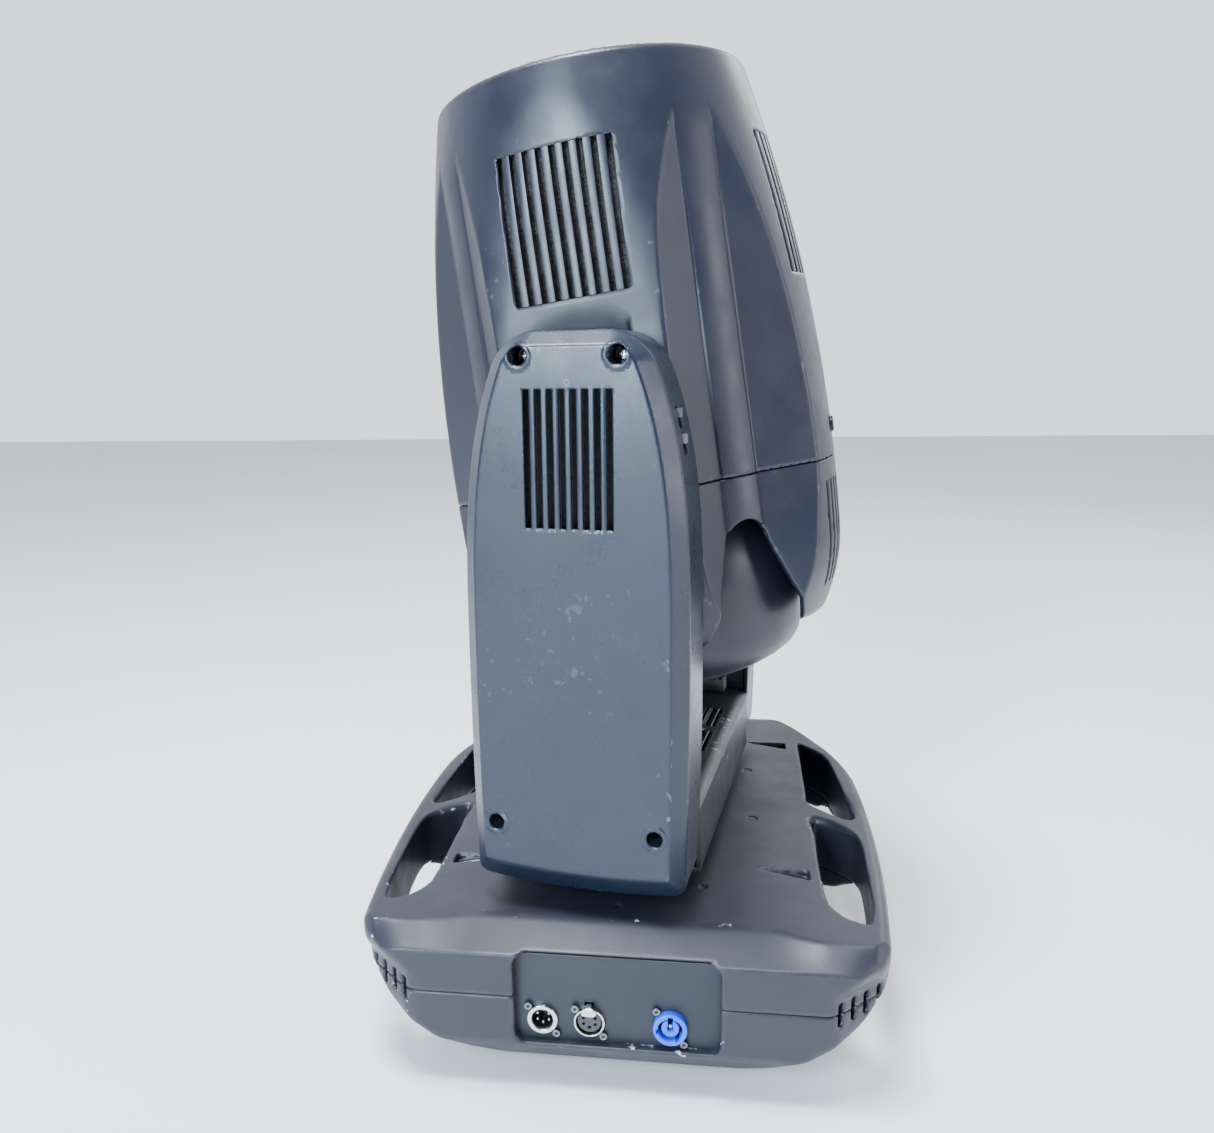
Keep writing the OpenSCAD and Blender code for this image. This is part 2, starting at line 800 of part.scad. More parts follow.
module tail_cap() {
  color(plastic) in_head() difference() {
    rotate_extrude() polygon([
      [0, -head_tail], [77, -head_tail], [88, -190.3], [79.5, -190.3], [79.5, -186], [0, -186]
    ]);
    translate([0, 0, -head_tail + 4]) cylinder(r = 74, h = 20);
    for (x = [-55:11:55]) let (reach = sqrt(68 * 68 - x * x))
      translate([x - 2.5, -reach, -210]) cube([5, 2 * reach, 40]);
  }
}

module shroud_fasteners() {
  color(metal) in_head() for (a = [0, 180]) rotate([0, 0, a]) {
    translate([139, 0, fastener_s]) rotate([0, 90, 0]) {
      cylinder(r = 3, h = 18);
      translate([0, 0, 18]) difference() {
        cylinder(r = 6, h = 2);
        translate([-4, -0.6, 1]) cube([8, 1.2, 3]);
      }
    }
  }
}

chassis_s = -24;
module head_chassis() {
  color(steel) in_head() difference() {
    union() {
      intersection() {
        translate([0, 0, chassis_s]) cylinder(r = 153, h = 6);
        translate([-160, -126, -60]) cube([320, 252, 100]);
        rotate([0, 0, 45]) translate([-126, -126, -60]) cube([252, 252, 100]);
      }
      for (y = [-126, 96]) translate([-24, y, chassis_s + 6]) cube([48, 30, 39]);
      for (x = [-139, 131]) translate([x, -8, chassis_s + 6]) cube([8, 16, 16]);
    }
    rod_y(0, -200, 0, trunnion_r, 400);
    translate([0, 0, -50]) cylinder(r = 28, h = 100);
    for (i = [0:5]) rotate([0, 0, 60 * i + 30]) translate([78, 0, -50]) cylinder(r = 16, h = 100);
  }
}

module trunnions() {
  color(metal) in_head() both_arms() translate([0, 98, 0]) rotate([-90, 0, 0]) tube(trunnion_r, 8, 60);
}

module tilt_pulley() {
  color(metal) in_head() translate([0, -tilt_belt_y - 7.2, 0]) rotate([-90, 0, 0]) {
    tube(tilt_gear_r, trunnion_r, 7);
    tube(tilt_gear_r + 3, trunnion_r, 0.6);
    translate([0, 0, 6.4]) tube(tilt_gear_r + 3, trunnion_r, 0.6);
  }
}

module heat_sink() {
  color(metal) in_head() intersection() {
    translate([0, 0, -16]) cylinder(r = 92, h = 68);
    union() {
      translate([-100, -100, 44]) cube([200, 200, 8]);
      for (i = [-10:10]) translate([-100, i * 8.8 - 1, -16]) cube([200, 2, 61]);
    }
  }
}

// Centres of the seven light cells: one in the middle and six round it
cells = concat([[0, 0]], [for (i = [0:5]) [lens_ring * cos(60 * i + 30), lens_ring * sin(60 * i + 30)]]);
rods = [[rod_ring * cos(60), rod_ring * sin(60)], [-rod_ring, 0], [rod_ring * cos(60), -rod_ring * sin(60)]];

module led_array() {
  color("darkgreen") in_head() difference() {
    union() {
      translate([0, 0, 52]) cylinder(r = 112, h = 2);
      for (c = cells) translate([c[0], c[1], 54]) {
        translate([-12, -12, 0]) cube([24, 24, 3]);
        translate([0, 0, 3]) cylinder(r1 = 8, r2 = 20, h = 50);
      }
    }
    translate([rod_ring, 0, 50]) cylinder(r = 5, h = 10);
  }
}

module zoom_rods() {
  color(metal) in_head() for (p = rods) translate([p[0], p[1], 54]) cylinder(r = rod_r, h = 182);
}

module zoom_carriage() {
  color(dark) in_head() difference() {
    union() {
      translate([0, 0, carriage_s]) cylinder(r = 112, h = 5);
      for (p = rods) translate([p[0], p[1], carriage_s - 7]) cylinder(r = 7, h = 20);
    }
    for (p = rods) translate([p[0], p[1], carriage_s - 10]) cylinder(r = rod_r + run, h = 30);
    for (c = cells) translate([c[0], c[1], carriage_s - 5]) cylinder(r = 27, h = 20);
    translate([rod_ring, 0, carriage_s - 5]) cylinder(r = rod_r, h = 20);
  }
}

// A domed lens with a flat back at z = 0
module lens(r, edge, crown_h) {
  sphere_r = (r * r + crown_h * crown_h) / (2 * crown_h);
  cylinder(r = r, h = edge);
  translate([0, 0, edge]) intersection() {
    translate([0, 0, crown_h - sphere_r]) sphere(r = sphere_r);
    cylinder(r = r, h = crown_h + 1);
  }
}

module zoom_lenses() {
  color([0.8, 0.9, 0.95, 0.5]) in_head() for (c = cells)
    translate([c[0], c[1], carriage_s + 5]) lens(29, 2, 6);
}

module zoom_screw() {
  color(metal) in_head() translate([rod_ring, 0, carriage_s - 90]) cylinder(r = rod_r, h = 95);
}

module zoom_motor() {
  color(dark) in_head() difference() {
    translate([rod_ring - 14, -14, 54]) cube([28, 28, 24]);
    translate([rod_ring, 0, 50]) cylinder(r = rod_r + run, h = 40);
  }
}

module lens_plate() {
  color(dark) in_head() translate([0, 0, 236]) difference() {
    cylinder(r = 118, h = 3);
    for (c = cells) translate([c[0], c[1], -1]) cylinder(r = 29, h = 5);
  }
}

module front_lenses() {
  color([0.85, 0.92, 0.97, 0.4]) in_head() for (c = cells) translate([c[0], c[1], 239]) lens(31.5, 3, 9);
}

module front_bezel() {
  color(dark) in_head() rotate_extrude() polygon([
    [118, 239], [122.5, 239], [122.5, 241], [118.6, 266], [113.5, 268], [112, 267], [115, 244]
  ]);
}

module fan_frame() {
  color(dark) in_head() translate([0, 0, -112]) difference() {
    union() {
      difference() {
        translate([-60, -60, 0]) cube([120, 120, 25]);
        translate([0, 0, -1]) cylinder(r = 56, h = 30);
      }
      cylinder(r = 18, h = 3);
      for (a = [0:90:270]) rotate([0, 0, a + 20]) translate([16, -2, 0]) cube([42, 4, 3]);
    }
    translate([0, 0, -1]) cylinder(r = 2 + run, h = 9);
    for (x = [-52, 52], y = [-52, 52]) translate([x, y, -1]) cylinder(r = 2.2, h = 30);
  }
}

module fan_rotor() {
  color(plastic) in_head() translate([0, 0, -112]) {
    cylinder(r = 2, h = 5);
    translate([0, 0, 4]) cylinder(r = 20, h = 18);
    for (a = [0:51.43:359]) rotate([0, 0, a]) translate([18, 0, 13]) rotate([35, 0, 0])
      translate([0, -9, -1]) cube([34, 18, 1.6]);
  }
}

module head_board() {
  color("darkgreen") in_head() {
    translate([-62, -62, -58]) cube([124, 124, 2]);
    for (x = [-56, 56], y = [-56, 56]) translate([x, y, -56]) cylinder(r = 3, h = 56 + chassis_s);
    for (x = [-36, -4, 28]) translate([x, -50, -56]) cube([20, 30, 10]);
    for (y = [0, 26]) translate([-20, y, -56]) cylinder(r = 7, h = 18);
  }
}

// ---- Parts --------------------------------------------------------------------------------------------

base_lower_housing();
base_upper_housing();
base_plate();
rubber_feet();
base_chassis();
power_supply();
control_board();
base_screws();
connector_panel();
data_in_connector();
data_thru_connector();
data_thru_latch();
power_inlet();
menu_panel();
menu_screen();
menu_button_up();
menu_button_down();
menu_button_left();
menu_button_right();
menu_button_enter();
pan_spindle();
pan_pulley();
yoke_frame();
yoke_top_cover();
yoke_bottom_cover();
arm_cover_near();
arm_cover_far();
arm_cover_screws();
pan_bearing();
tilt_bearings();
pan_motor();
pan_pinion();
pan_belt();
tilt_motor();
tilt_pinion();
tilt_belt();
motor_driver_board();
pan_lock();
tilt_lock();
head_front_shroud();
head_rear_shroud();
tail_housing();
tail_cap();
shroud_fasteners();
head_chassis();
trunnions();
tilt_pulley();
heat_sink();
led_array();
zoom_rods();
zoom_carriage();
zoom_lenses();
zoom_screw();
zoom_motor();
lens_plate();
front_lenses();
front_bezel();
fan_frame();
fan_rotor();
head_board();
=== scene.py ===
"""Moving head wash light: the moulded shells, connectors and finishes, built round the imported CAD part.

Shells are modelled as distance fields in millimetres, in the frame of the body they ride on, and then meshed.
"""
import itertools
import json
import math

import bmesh
import bpy
import numpy as np
from mathutils import Matrix, Vector


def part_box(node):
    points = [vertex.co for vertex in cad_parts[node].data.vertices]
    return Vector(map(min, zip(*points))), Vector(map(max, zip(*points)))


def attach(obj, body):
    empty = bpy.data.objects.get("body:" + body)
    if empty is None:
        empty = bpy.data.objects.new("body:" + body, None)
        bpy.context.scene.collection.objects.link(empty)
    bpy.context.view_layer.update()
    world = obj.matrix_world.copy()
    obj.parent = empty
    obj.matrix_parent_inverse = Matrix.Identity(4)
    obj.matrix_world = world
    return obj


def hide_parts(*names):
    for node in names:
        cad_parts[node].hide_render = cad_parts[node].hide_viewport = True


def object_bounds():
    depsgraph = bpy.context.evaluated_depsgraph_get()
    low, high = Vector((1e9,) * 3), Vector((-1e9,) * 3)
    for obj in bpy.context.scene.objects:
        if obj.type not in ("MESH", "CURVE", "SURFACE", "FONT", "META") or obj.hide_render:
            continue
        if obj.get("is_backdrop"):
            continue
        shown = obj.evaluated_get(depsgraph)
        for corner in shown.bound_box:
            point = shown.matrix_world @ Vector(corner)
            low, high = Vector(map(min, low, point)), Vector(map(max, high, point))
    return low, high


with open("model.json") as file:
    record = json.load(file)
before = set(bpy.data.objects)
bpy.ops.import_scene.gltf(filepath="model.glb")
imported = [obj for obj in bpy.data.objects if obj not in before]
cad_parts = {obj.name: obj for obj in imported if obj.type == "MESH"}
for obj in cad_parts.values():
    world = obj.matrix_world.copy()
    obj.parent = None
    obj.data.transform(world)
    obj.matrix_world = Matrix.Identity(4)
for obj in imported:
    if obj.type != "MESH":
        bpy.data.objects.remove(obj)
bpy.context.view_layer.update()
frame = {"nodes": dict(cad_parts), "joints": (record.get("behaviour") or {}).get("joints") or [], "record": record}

MM = 0.001
FINE = 1.0   # a coarser lattice while trying things


# ---- Places, from the frame ------------------------------

def joint(name):
    return next(j for j in frame["joints"] if j["name"] == name)


def placement(origin, x_axis, y_axis, z_axis):
    place = np.eye(4)
    place[:3, 0], place[:3, 1], place[:3, 2], place[:3, 3] = x_axis, y_axis, z_axis, origin
    return place


def node_box(name):
    low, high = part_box(name)
    return np.array(low) / MM, np.array(high) / MM


UP = np.array([0.0, 0.0, 1.0])
pan_axis = np.array(joint("pan")["pos_m"]) * [1, 1, 0]
tilt_centre = np.array(joint("tilt")["pos_m"])
tilt_axis = np.array(joint("tilt")["axis"])
optical = np.array(joint("zoom_slide")["axis"])

BASE = placement(pan_axis, [1, 0, 0], [0, 1, 0], UP)
YOKE = placement(pan_axis, np.cross(tilt_axis, UP), tilt_axis, UP)
HEAD = placement(tilt_centre, np.cross(tilt_axis, optical), tilt_axis, optical)


# ---- Distance fields -------------------------------------
# A field takes points (n, 3) in millimetres and is negative inside the solid.

def both(a, b, r=0.0):
    """Where a and b overlap, with outer edges rounded to radius r."""
    if np.isscalar(r) and r == 0.0:
        return np.maximum(a, b)
    corner = np.hypot(np.maximum(a + r, 0), np.maximum(b + r, 0))
    return np.minimum(np.maximum(a, b), -r) + corner


def either(a, b, r=0.0):
    """a and b joined, with inner edges filled to radius r."""
    return -both(-a, -b, r)


def cut(a, b, r=0.0):
    """a without b."""
    return both(a, -b, r)


def slab(v, low, high):
    return np.maximum(low - v, v - high)


def smooth(t):
    t = np.clip(t, 0, 1)
    return t * t * (3 - 2 * t)


def plane2(u, v, a, b):
    """Distance from the line through a and b in the (u, v) plane, positive on its left."""
    d = np.subtract(b, a)
    d = d / np.hypot(*d)
    return (v - a[1]) * d[0] - (u - a[0]) * d[1]


def polygon(u, v, points, r):
    """A convex outline, given clockwise, with corners rounded to radius r."""
    out = plane2(u, v, points[-1], points[0])
    for a, b in zip(points, points[1:]):
        out = both(out, plane2(u, v, a, b), r)
    return out


def plane3(p, a, b, c):
    """Distance from the plane through a, b and c, negative on the side of the base's middle."""
    a, b, c = (np.array(q, float) for q in (a, b, c))
    n = np.cross(b - a, c - a)
    n /= np.linalg.norm(n)
    if (np.array([0, 0, 60]) - a) @ n > 0:
        n = -n
    return (p - a) @ n


def round_rect(u, v, half_u, half_v, r):
    du, dv = np.abs(u) - half_u + r, np.abs(v) - half_v + r
    return np.hypot(np.maximum(du, 0), np.maximum(dv, 0)) + np.minimum(np.maximum(du, dv), 0) - r


# ---- Meshing ---------------------------------------------

BLOCK = 5          # lattice cells along a block's edge
REACH = 1.25       # how far past its half diagonal a block still counts as near the surface
HOLD = 0.06        # how strongly a vertex is held at the middle of its crossings
BEND_REACH = 2.2   # how far from a point its bend is felt, at most


def sample(field, low, step, count, steep):
    """Field values on the lattice, worked out only in blocks near the surface."""
    size = count * BLOCK
    middles = [low[i] + step * BLOCK * (np.arange(count[i]) + 0.5) for i in range(3)]
    coarse = field(np.stack(np.meshgrid(*middles, indexing="ij"), -1).reshape(-1, 3)).reshape(count)
    near = np.abs(coarse) < REACH * steep * step * BLOCK * math.sqrt(3) / 2
    values = np.where(np.pad(coarse, [(0, 1)] * 3, mode="edge") < 0, -1.0, 1.0)
    for axis in range(3):
        values = values.repeat(BLOCK, axis)
        near = near.repeat(BLOCK, axis)
    values = values[: size[0] + 1, : size[1] + 1, : size[2] + 1].astype(np.float32)
    wanted = np.zeros(size + 1, bool)
    for dx, dy, dz in itertools.product((0, 1), repeat=3):
        wanted[dx:size[0] + dx, dy:size[1] + dy, dz:size[2] + dz] |= near
    at = np.argwhere(wanted)
    values[wanted] = field(low + step * at)
    return values


def gradient(field, points, h):
    out = np.empty_like(points)
    for axis in range(3):
        shift = np.zeros(3)
        shift[axis] = h
        out[:, axis] = field(points + shift) - field(points - shift)
    length = np.linalg.norm(out, axis=1, keepdims=True)
    return out / np.maximum(length, 1e-9)


def dual_contour(field, low, high, step, steep=1.0):
    """Vertices and quads of the zero surface, with creases kept."""
    low, high = np.array(low, float), np.array(high, float)
    count = np.ceil((high - low) / (step * BLOCK)).astype(int)
    values = sample(field, low, step, count, steep)
    solid = values < 0
    size = np.array(values.shape) - 1
    points, cells, flips = [], [], []
    for axis in range(3):
        first, last = [slice(None)] * 3, [slice(None)] * 3
        first[axis], last[axis] = slice(0, -1), slice(1, None)
        at = np.argwhere(solid[tuple(first)] != solid[tuple(last)])
        b, c = (axis + 1) % 3, (axis + 2) % 3
        at = at[(at[:, b] > 0) & (at[:, c] > 0) & (at[:, b] < size[b]) & (at[:, c] < size[c])]
        unit = np.eye(3, dtype=int)[axis]
        v0 = values[tuple(at.T)]
        v1 = values[tuple((at + unit).T)]
        points.append(low + step * (at + (v0 / (v0 - v1))[:, None] * unit))
        flips.append(v0 >= 0)
        back_b, back_c = -np.eye(3, dtype=int)[b], -np.eye(3, dtype=int)[c]
        ring = [np.zeros(3, int), back_b, back_b + back_c, back_c]
        cells.append(np.stack([np.ravel_multi_index((at + r).T, size) for r in ring], 1))
    points, cells, flips = np.concatenate(points), np.concatenate(cells), np.concatenate(flips)
    normals = gradient(field, points, 0.1 * step)
    ids, quads = np.unique(cells, return_inverse=True)
    quads = quads.reshape(-1, 4)

    def gather(weights):
        return np.bincount(quads.ravel(), np.repeat(weights, 4), len(ids))

    number = gather(np.ones(len(points)))
    centre = np.stack([gather(points[:, i]) for i in range(3)], 1) / number[:, None]
    along = (normals * points).sum(1)
    matrix = np.empty((len(ids), 3, 3))
    side = np.empty((len(ids), 3))
    for i in range(3):
        side[:, i] = gather(normals[:, i] * along)
        for j in range(3):
            matrix[:, i, j] = gather(normals[:, i] * normals[:, j])
    side -= np.einsum("nij,nj->ni", matrix, centre)
    matrix += HOLD * np.eye(3)
    move = np.linalg.solve(matrix, side[:, :, None])[:, :, 0]
    verts = centre + np.clip(move, -step, step)
    quads[flips] = quads[flips][:, ::-1]
    return verts, quads


def crease(field, points, h):
    """How sharply the surface bends at each point: above 0 on outer edges, below 0 in corners."""
    total = np.zeros(len(points))
    for axis in range(3):
        for sign in (-1, 1):
            shift = np.zeros(3)
            shift[axis] = sign * h
            total += field(points + shift)
    return total / (6 * h)


def link(obj):
    bpy.context.scene.collection.objects.link(obj)
    return obj


def surface(field, low, high, step, stretch=1.0):
    """Meshes a field: vertices, faces, normals and bend. Cells are stretched along the last axis."""
    cell = np.array([1, 1, stretch])
    verts, quads = dual_contour(lambda q: field(q * cell), low / cell, high / cell, step, stretch)
    verts *= cell
    return verts, quads, gradient(field, verts, 0.4 * step), crease(field, verts, min(BEND_REACH, 2 * step))


def repeated(part, places):
    """Copies of a meshed part; each place is (x, y, z) or (x, y, z, side), where side -1 turns it round."""
    verts, quads, normals, bend = part
    out = [[], [], [], []]
    for index, (x, y, z, side) in enumerate((*p, 1)[:4] for p in places):
        turn = np.array([side, side, 1])
        out[0].append(verts * turn + [x, y, z])
        out[1].append(quads + index * len(verts))
        out[2].append(normals * turn)
        out[3].append(bend)
    return tuple(np.concatenate(parts) for parts in out)


def add_piece(name, part, place, nodes, body, slot, material):
    """Makes a meshed part a visible piece that stands for one or more CAD nodes."""
    verts, quads, normals, bend = part
    mesh = bpy.data.meshes.new(name)
    mesh.vertices.add(len(verts))
    mesh.loops.add(quads.size)
    mesh.polygons.add(len(quads))
    world = (verts * MM) @ place[:3, :3].T + place[:3, 3]
    mesh.vertices.foreach_set("co", world.astype(np.float32).ravel())
    mesh.loops.foreach_set("vertex_index", quads.astype(np.int32).ravel())
    mesh.polygons.foreach_set("loop_start", np.arange(0, quads.size, 4, dtype=np.int32))
    mesh.update(calc_edges=True)
    mesh.validate()
    mesh.shade_smooth()
    mesh.normals_split_custom_set_from_vertices((normals @ place[:3, :3].T).tolist())
    layer = mesh.attributes.new("bend", "FLOAT", "POINT")
    layer.data.foreach_set("value", bend.astype(np.float32))
    obj = link(bpy.data.objects.new(name, mesh))
    mesh.materials.append(material)
    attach(obj, body)
    if nodes:
        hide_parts(*nodes)
    print(name, len(quads), "quads")


def shell_piece(name, field, low, high, step, place, nodes, body, slot, material, stretch=1.0):
    part = surface(field, low, high, step * FINE, stretch)
    add_piece(name, part, place, nodes, body, slot, material)


# ---- Materials -------------------------------------------

class Paint:
    """A small helper for building node materials."""

    def __init__(self, name):
        self.material = bpy.data.materials.new(name)
        self.material.use_nodes = True
        self.nodes = self.material.node_tree.nodes
        self.links = self.material.node_tree.links
        self.shader = self.nodes["Principled BSDF"]
        self.coords = self.nodes.new("ShaderNodeTexCoord").outputs["Object"]

    def put(self, socket, value):
        if isinstance(value, bpy.types.NodeSocket):
            self.links.new(value, socket)
        elif isinstance(value, (tuple, list)) and len(value) == 3 and socket.type == "RGBA":
            socket.default_value = (*value, 1)
        else:
            socket.default_value = value

    def set(self, **values):
        for key, value in values.items():
            self.put(self.shader.inputs[key.replace("_", " ")], value)

    def noise(self, scale, detail=2.0, rough=0.5, stretch=(1, 1, 1)):
        mapping = self.nodes.new("ShaderNodeMapping")
        mapping.inputs["Scale"].default_value = stretch
        self.links.new(self.coords, mapping.inputs["Vector"])
        node = self.nodes.new("ShaderNodeTexNoise")
        self.links.new(mapping.outputs["Vector"], node.inputs["Vector"])
        node.inputs["Scale"].default_value = scale
        node.inputs["Detail"].default_value = detail
        node.inputs["Roughness"].default_value = rough
        return node.outputs["Fac"]

    def cells(self, scale):
        node = self.nodes.new("ShaderNodeTexVoronoi")
        self.links.new(self.coords, node.inputs["Vector"])
        node.inputs["Scale"].default_value = scale
        return node.outputs["Distance"]

    def ramp(self, value, low, high, to_low=0.0, to_high=1.0):
        node = self.nodes.new("ShaderNodeMapRange")
        node.interpolation_type = "SMOOTHSTEP"
        self.put(node.inputs["Value"], value)
        for key, number in zip(("From Min", "From Max", "To Min", "To Max"), (low, high, to_low, to_high)):
            node.inputs[key].default_value = number
        return node.outputs["Result"]

    def math(self, kind, a, b):
        node = self.nodes.new("ShaderNodeMath")
        node.operation = kind
        self.put(node.inputs[0], a)
        self.put(node.inputs[1], b)
        return node.outputs[0]

    def mix(self, amount, a, b):
        node = self.nodes.new("ShaderNodeMix")
        node.data_type = "RGBA"
        self.put(node.inputs["Factor"], amount)
        self.put(node.inputs["A"], a)
        self.put(node.inputs["B"], b)
        return node.outputs["Result"]

    def attribute(self, name):
        node = self.nodes.new("ShaderNodeAttribute")
        node.attribute_name = name
        return node.outputs["Fac"]

    def bump(self, height, distance):
        node = self.nodes.new("ShaderNodeBump")
        node.inputs["Distance"].default_value = distance
        self.links.new(height, node.inputs["Height"])
        self.put(self.shader.inputs["Normal"], node.outputs["Normal"])
        return self


def moulded(name, colour, roughness, wear, smudges, grain=0.00006):
    """Textured moulded plastic: fine grain, hand marks, light scuffs and chips along its outer edges, and painted
    shade that darkens its inner corners.
    """
    paint = Paint(name)
    dark = tuple(c * 0.72 for c in colour)
    light = tuple(min(1.0, c * 1.35 + 0.012) for c in colour)
    scuff = tuple(0.35 * c + 0.12 for c in colour)
    cloud = paint.ramp(paint.noise(9.0, 4.0, 0.6), 0.35, 0.68)
    tone = paint.mix(cloud, tuple(c * 0.93 for c in colour), tuple(c * 1.08 for c in colour))
    marks = paint.math("MULTIPLY", paint.ramp(paint.noise(38.0, 5.0, 0.62), 0.52, 0.80), smudges)
    tone = paint.mix(marks, tone, dark)
    streaks = paint.ramp(paint.noise(70.0, 6.0, 0.7, (1, 1, 0.35)), 0.66, 0.80)
    rub = paint.math("MULTIPLY", streaks, 0.35 * wear)
    tone = paint.mix(rub, tone, scuff)
    bend = paint.attribute("bend")
    edge = paint.ramp(bend, 0.035, 0.12)
    worn = paint.math("MULTIPLY", edge, paint.ramp(paint.noise(55.0, 5.0, 0.7), 0.44, 0.66))
    tone = paint.mix(paint.math("MULTIPLY", worn, 0.55 * wear), tone, light)
    chips = paint.math("MULTIPLY", edge, paint.ramp(paint.noise(130.0, 3.0, 0.6), 0.62, 0.66))
    chips = paint.math("MULTIPLY", chips, paint.ramp(paint.noise(13.0, 2.0), 0.50, 0.60))
    tone = paint.mix(paint.math("MULTIPLY", chips, 0.95 * wear), tone, (0.62, 0.63, 0.68))
    # Painted shade: the colour darkens towards half its value in inner corners and creases, where the bend is
    # below 0.
    corner_shade = paint.ramp(bend, -0.03, -0.12)
    tone = paint.mix(paint.math("MULTIPLY", corner_shade, 0.4), tone, tuple(c * 0.5 for c in colour))
    gloss = paint.ramp(paint.noise(24.0, 4.0, 0.6), 0.3, 0.7, roughness - 0.05, roughness + 0.07)
    gloss = paint.math("ADD", gloss, paint.math("MULTIPLY", marks, 0.07))
    paint.set(Base_Color=tone, Roughness=gloss)
    paint.bump(paint.noise(1500.0, 2.0, 0.5), grain)
    return paint.material


def metal(name, colour, roughness, brushed=(1, 1, 1)):
    """Bare or plated metal with faint streaks and stains."""
    paint = Paint(name)
    streak = paint.noise(420.0, 3.0, 0.6, brushed)
    tone = paint.mix(streak, tuple(c * 0.82 for c in colour), colour)
    stain = paint.ramp(paint.noise(45.0, 4.0, 0.6), 0.55, 0.75)
    tone = paint.mix(paint.math("MULTIPLY", stain, 0.4), tone, tuple(c * 0.6 for c in colour))
    gloss = paint.ramp(paint.noise(80.0, 4.0, 0.6), 0.3, 0.7, roughness * 0.8, roughness * 1.25)
    paint.set(Base_Color=tone, Roughness=gloss, Metallic=1.0)
    return paint.bump(streak, 0.00002).material


def simple_plastic(name, colour, roughness):
    """Plain plastic or paint, a little uneven in tone and gloss."""
    paint = Paint(name)
    cloud = paint.ramp(paint.noise(60.0, 4.0, 0.6), 0.3, 0.7)
    tone = paint.mix(cloud, tuple(c * 0.85 for c in colour), colour)
    gloss = paint.ramp(paint.noise(110.0, 3.0, 0.5), 0.3, 0.7, roughness - 0.04, roughness + 0.06)
    paint.set(Base_Color=tone, Roughness=gloss)
    return paint.bump(paint.noise(1800.0, 2.0, 0.5), 0.00003).material


def rubber(name):
    """Matt black rubber with dust."""
    paint = Paint(name)
    dust = paint.ramp(paint.noise(50.0, 4.0, 0.6), 0.45, 0.75)
    tone = paint.mix(paint.math("MULTIPLY", dust, 0.5), (0.018, 0.018, 0.02), (0.07, 0.07, 0.072))
    paint.set(Base_Color=tone, Roughness=0.8)
    return paint.bump(paint.noise(900.0, 3.0, 0.5), 0.00008).material


def circuit_board(name):
    """Green solder mask over tracks, with tinned pads."""
    paint = Paint(name)
    tracks = paint.ramp(paint.cells(260.0), 0.25, 0.35)
    tone = paint.mix(tracks, (0.02, 0.12, 0.05), (0.008, 0.06, 0.03))
    solder = paint.ramp(paint.noise(600.0, 1.0), 0.68, 0.72)
    paint.set(Base_Color=paint.mix(solder, tone, (0.5, 0.5, 0.48)), Roughness=0.35)
    return paint.bump(tracks, 0.00005).material


def glass(name, colour):
    """Clear lens glass with a few smears."""
    paint = Paint(name)
    smear = paint.ramp(paint.noise(40.0, 4.0, 0.6), 0.4, 0.75, 0.04, 0.12)
    tone = paint.mix(paint.noise(30.0), tuple(c * 0.94 for c in colour), colour)
    paint.set(Base_Color=tone, Roughness=smear, Transmission_Weight=0.85, IOR=1.49)
    return paint.material


def filter_foam(name):
    """Open foam behind the grilles, grey with dust."""
    paint = Paint(name)
    pores = paint.ramp(paint.cells(520.0), 0.15, 0.5)
    dust = paint.ramp(paint.noise(110.0, 5.0, 0.7), 0.4, 0.7)
    tone = paint.mix(dust, (0.012, 0.012, 0.013), (0.05, 0.048, 0.045))
    paint.set(Base_Color=paint.mix(pores, (0.005, 0.005, 0.006), tone), Roughness=0.95)
    return paint.bump(pores, 0.0003).material


def display(name):
    """A dark screen behind a glossy window."""
    paint = Paint(name)
    cloud = paint.ramp(paint.noise(20.0), 0.3, 0.7)
    tone = paint.mix(cloud, (0.012, 0.02, 0.028), (0.018, 0.03, 0.04))
    paint.set(Base_Color=tone, Roughness=0.08, Coat_Weight=0.6, Coat_Roughness=0.03)
    return paint.material


SLATE = (0.0122, 0.0140, 0.0255)      # the head's blue grey
PURPLE = (0.0158, 0.0166, 0.0270)     # the base's warmer grey

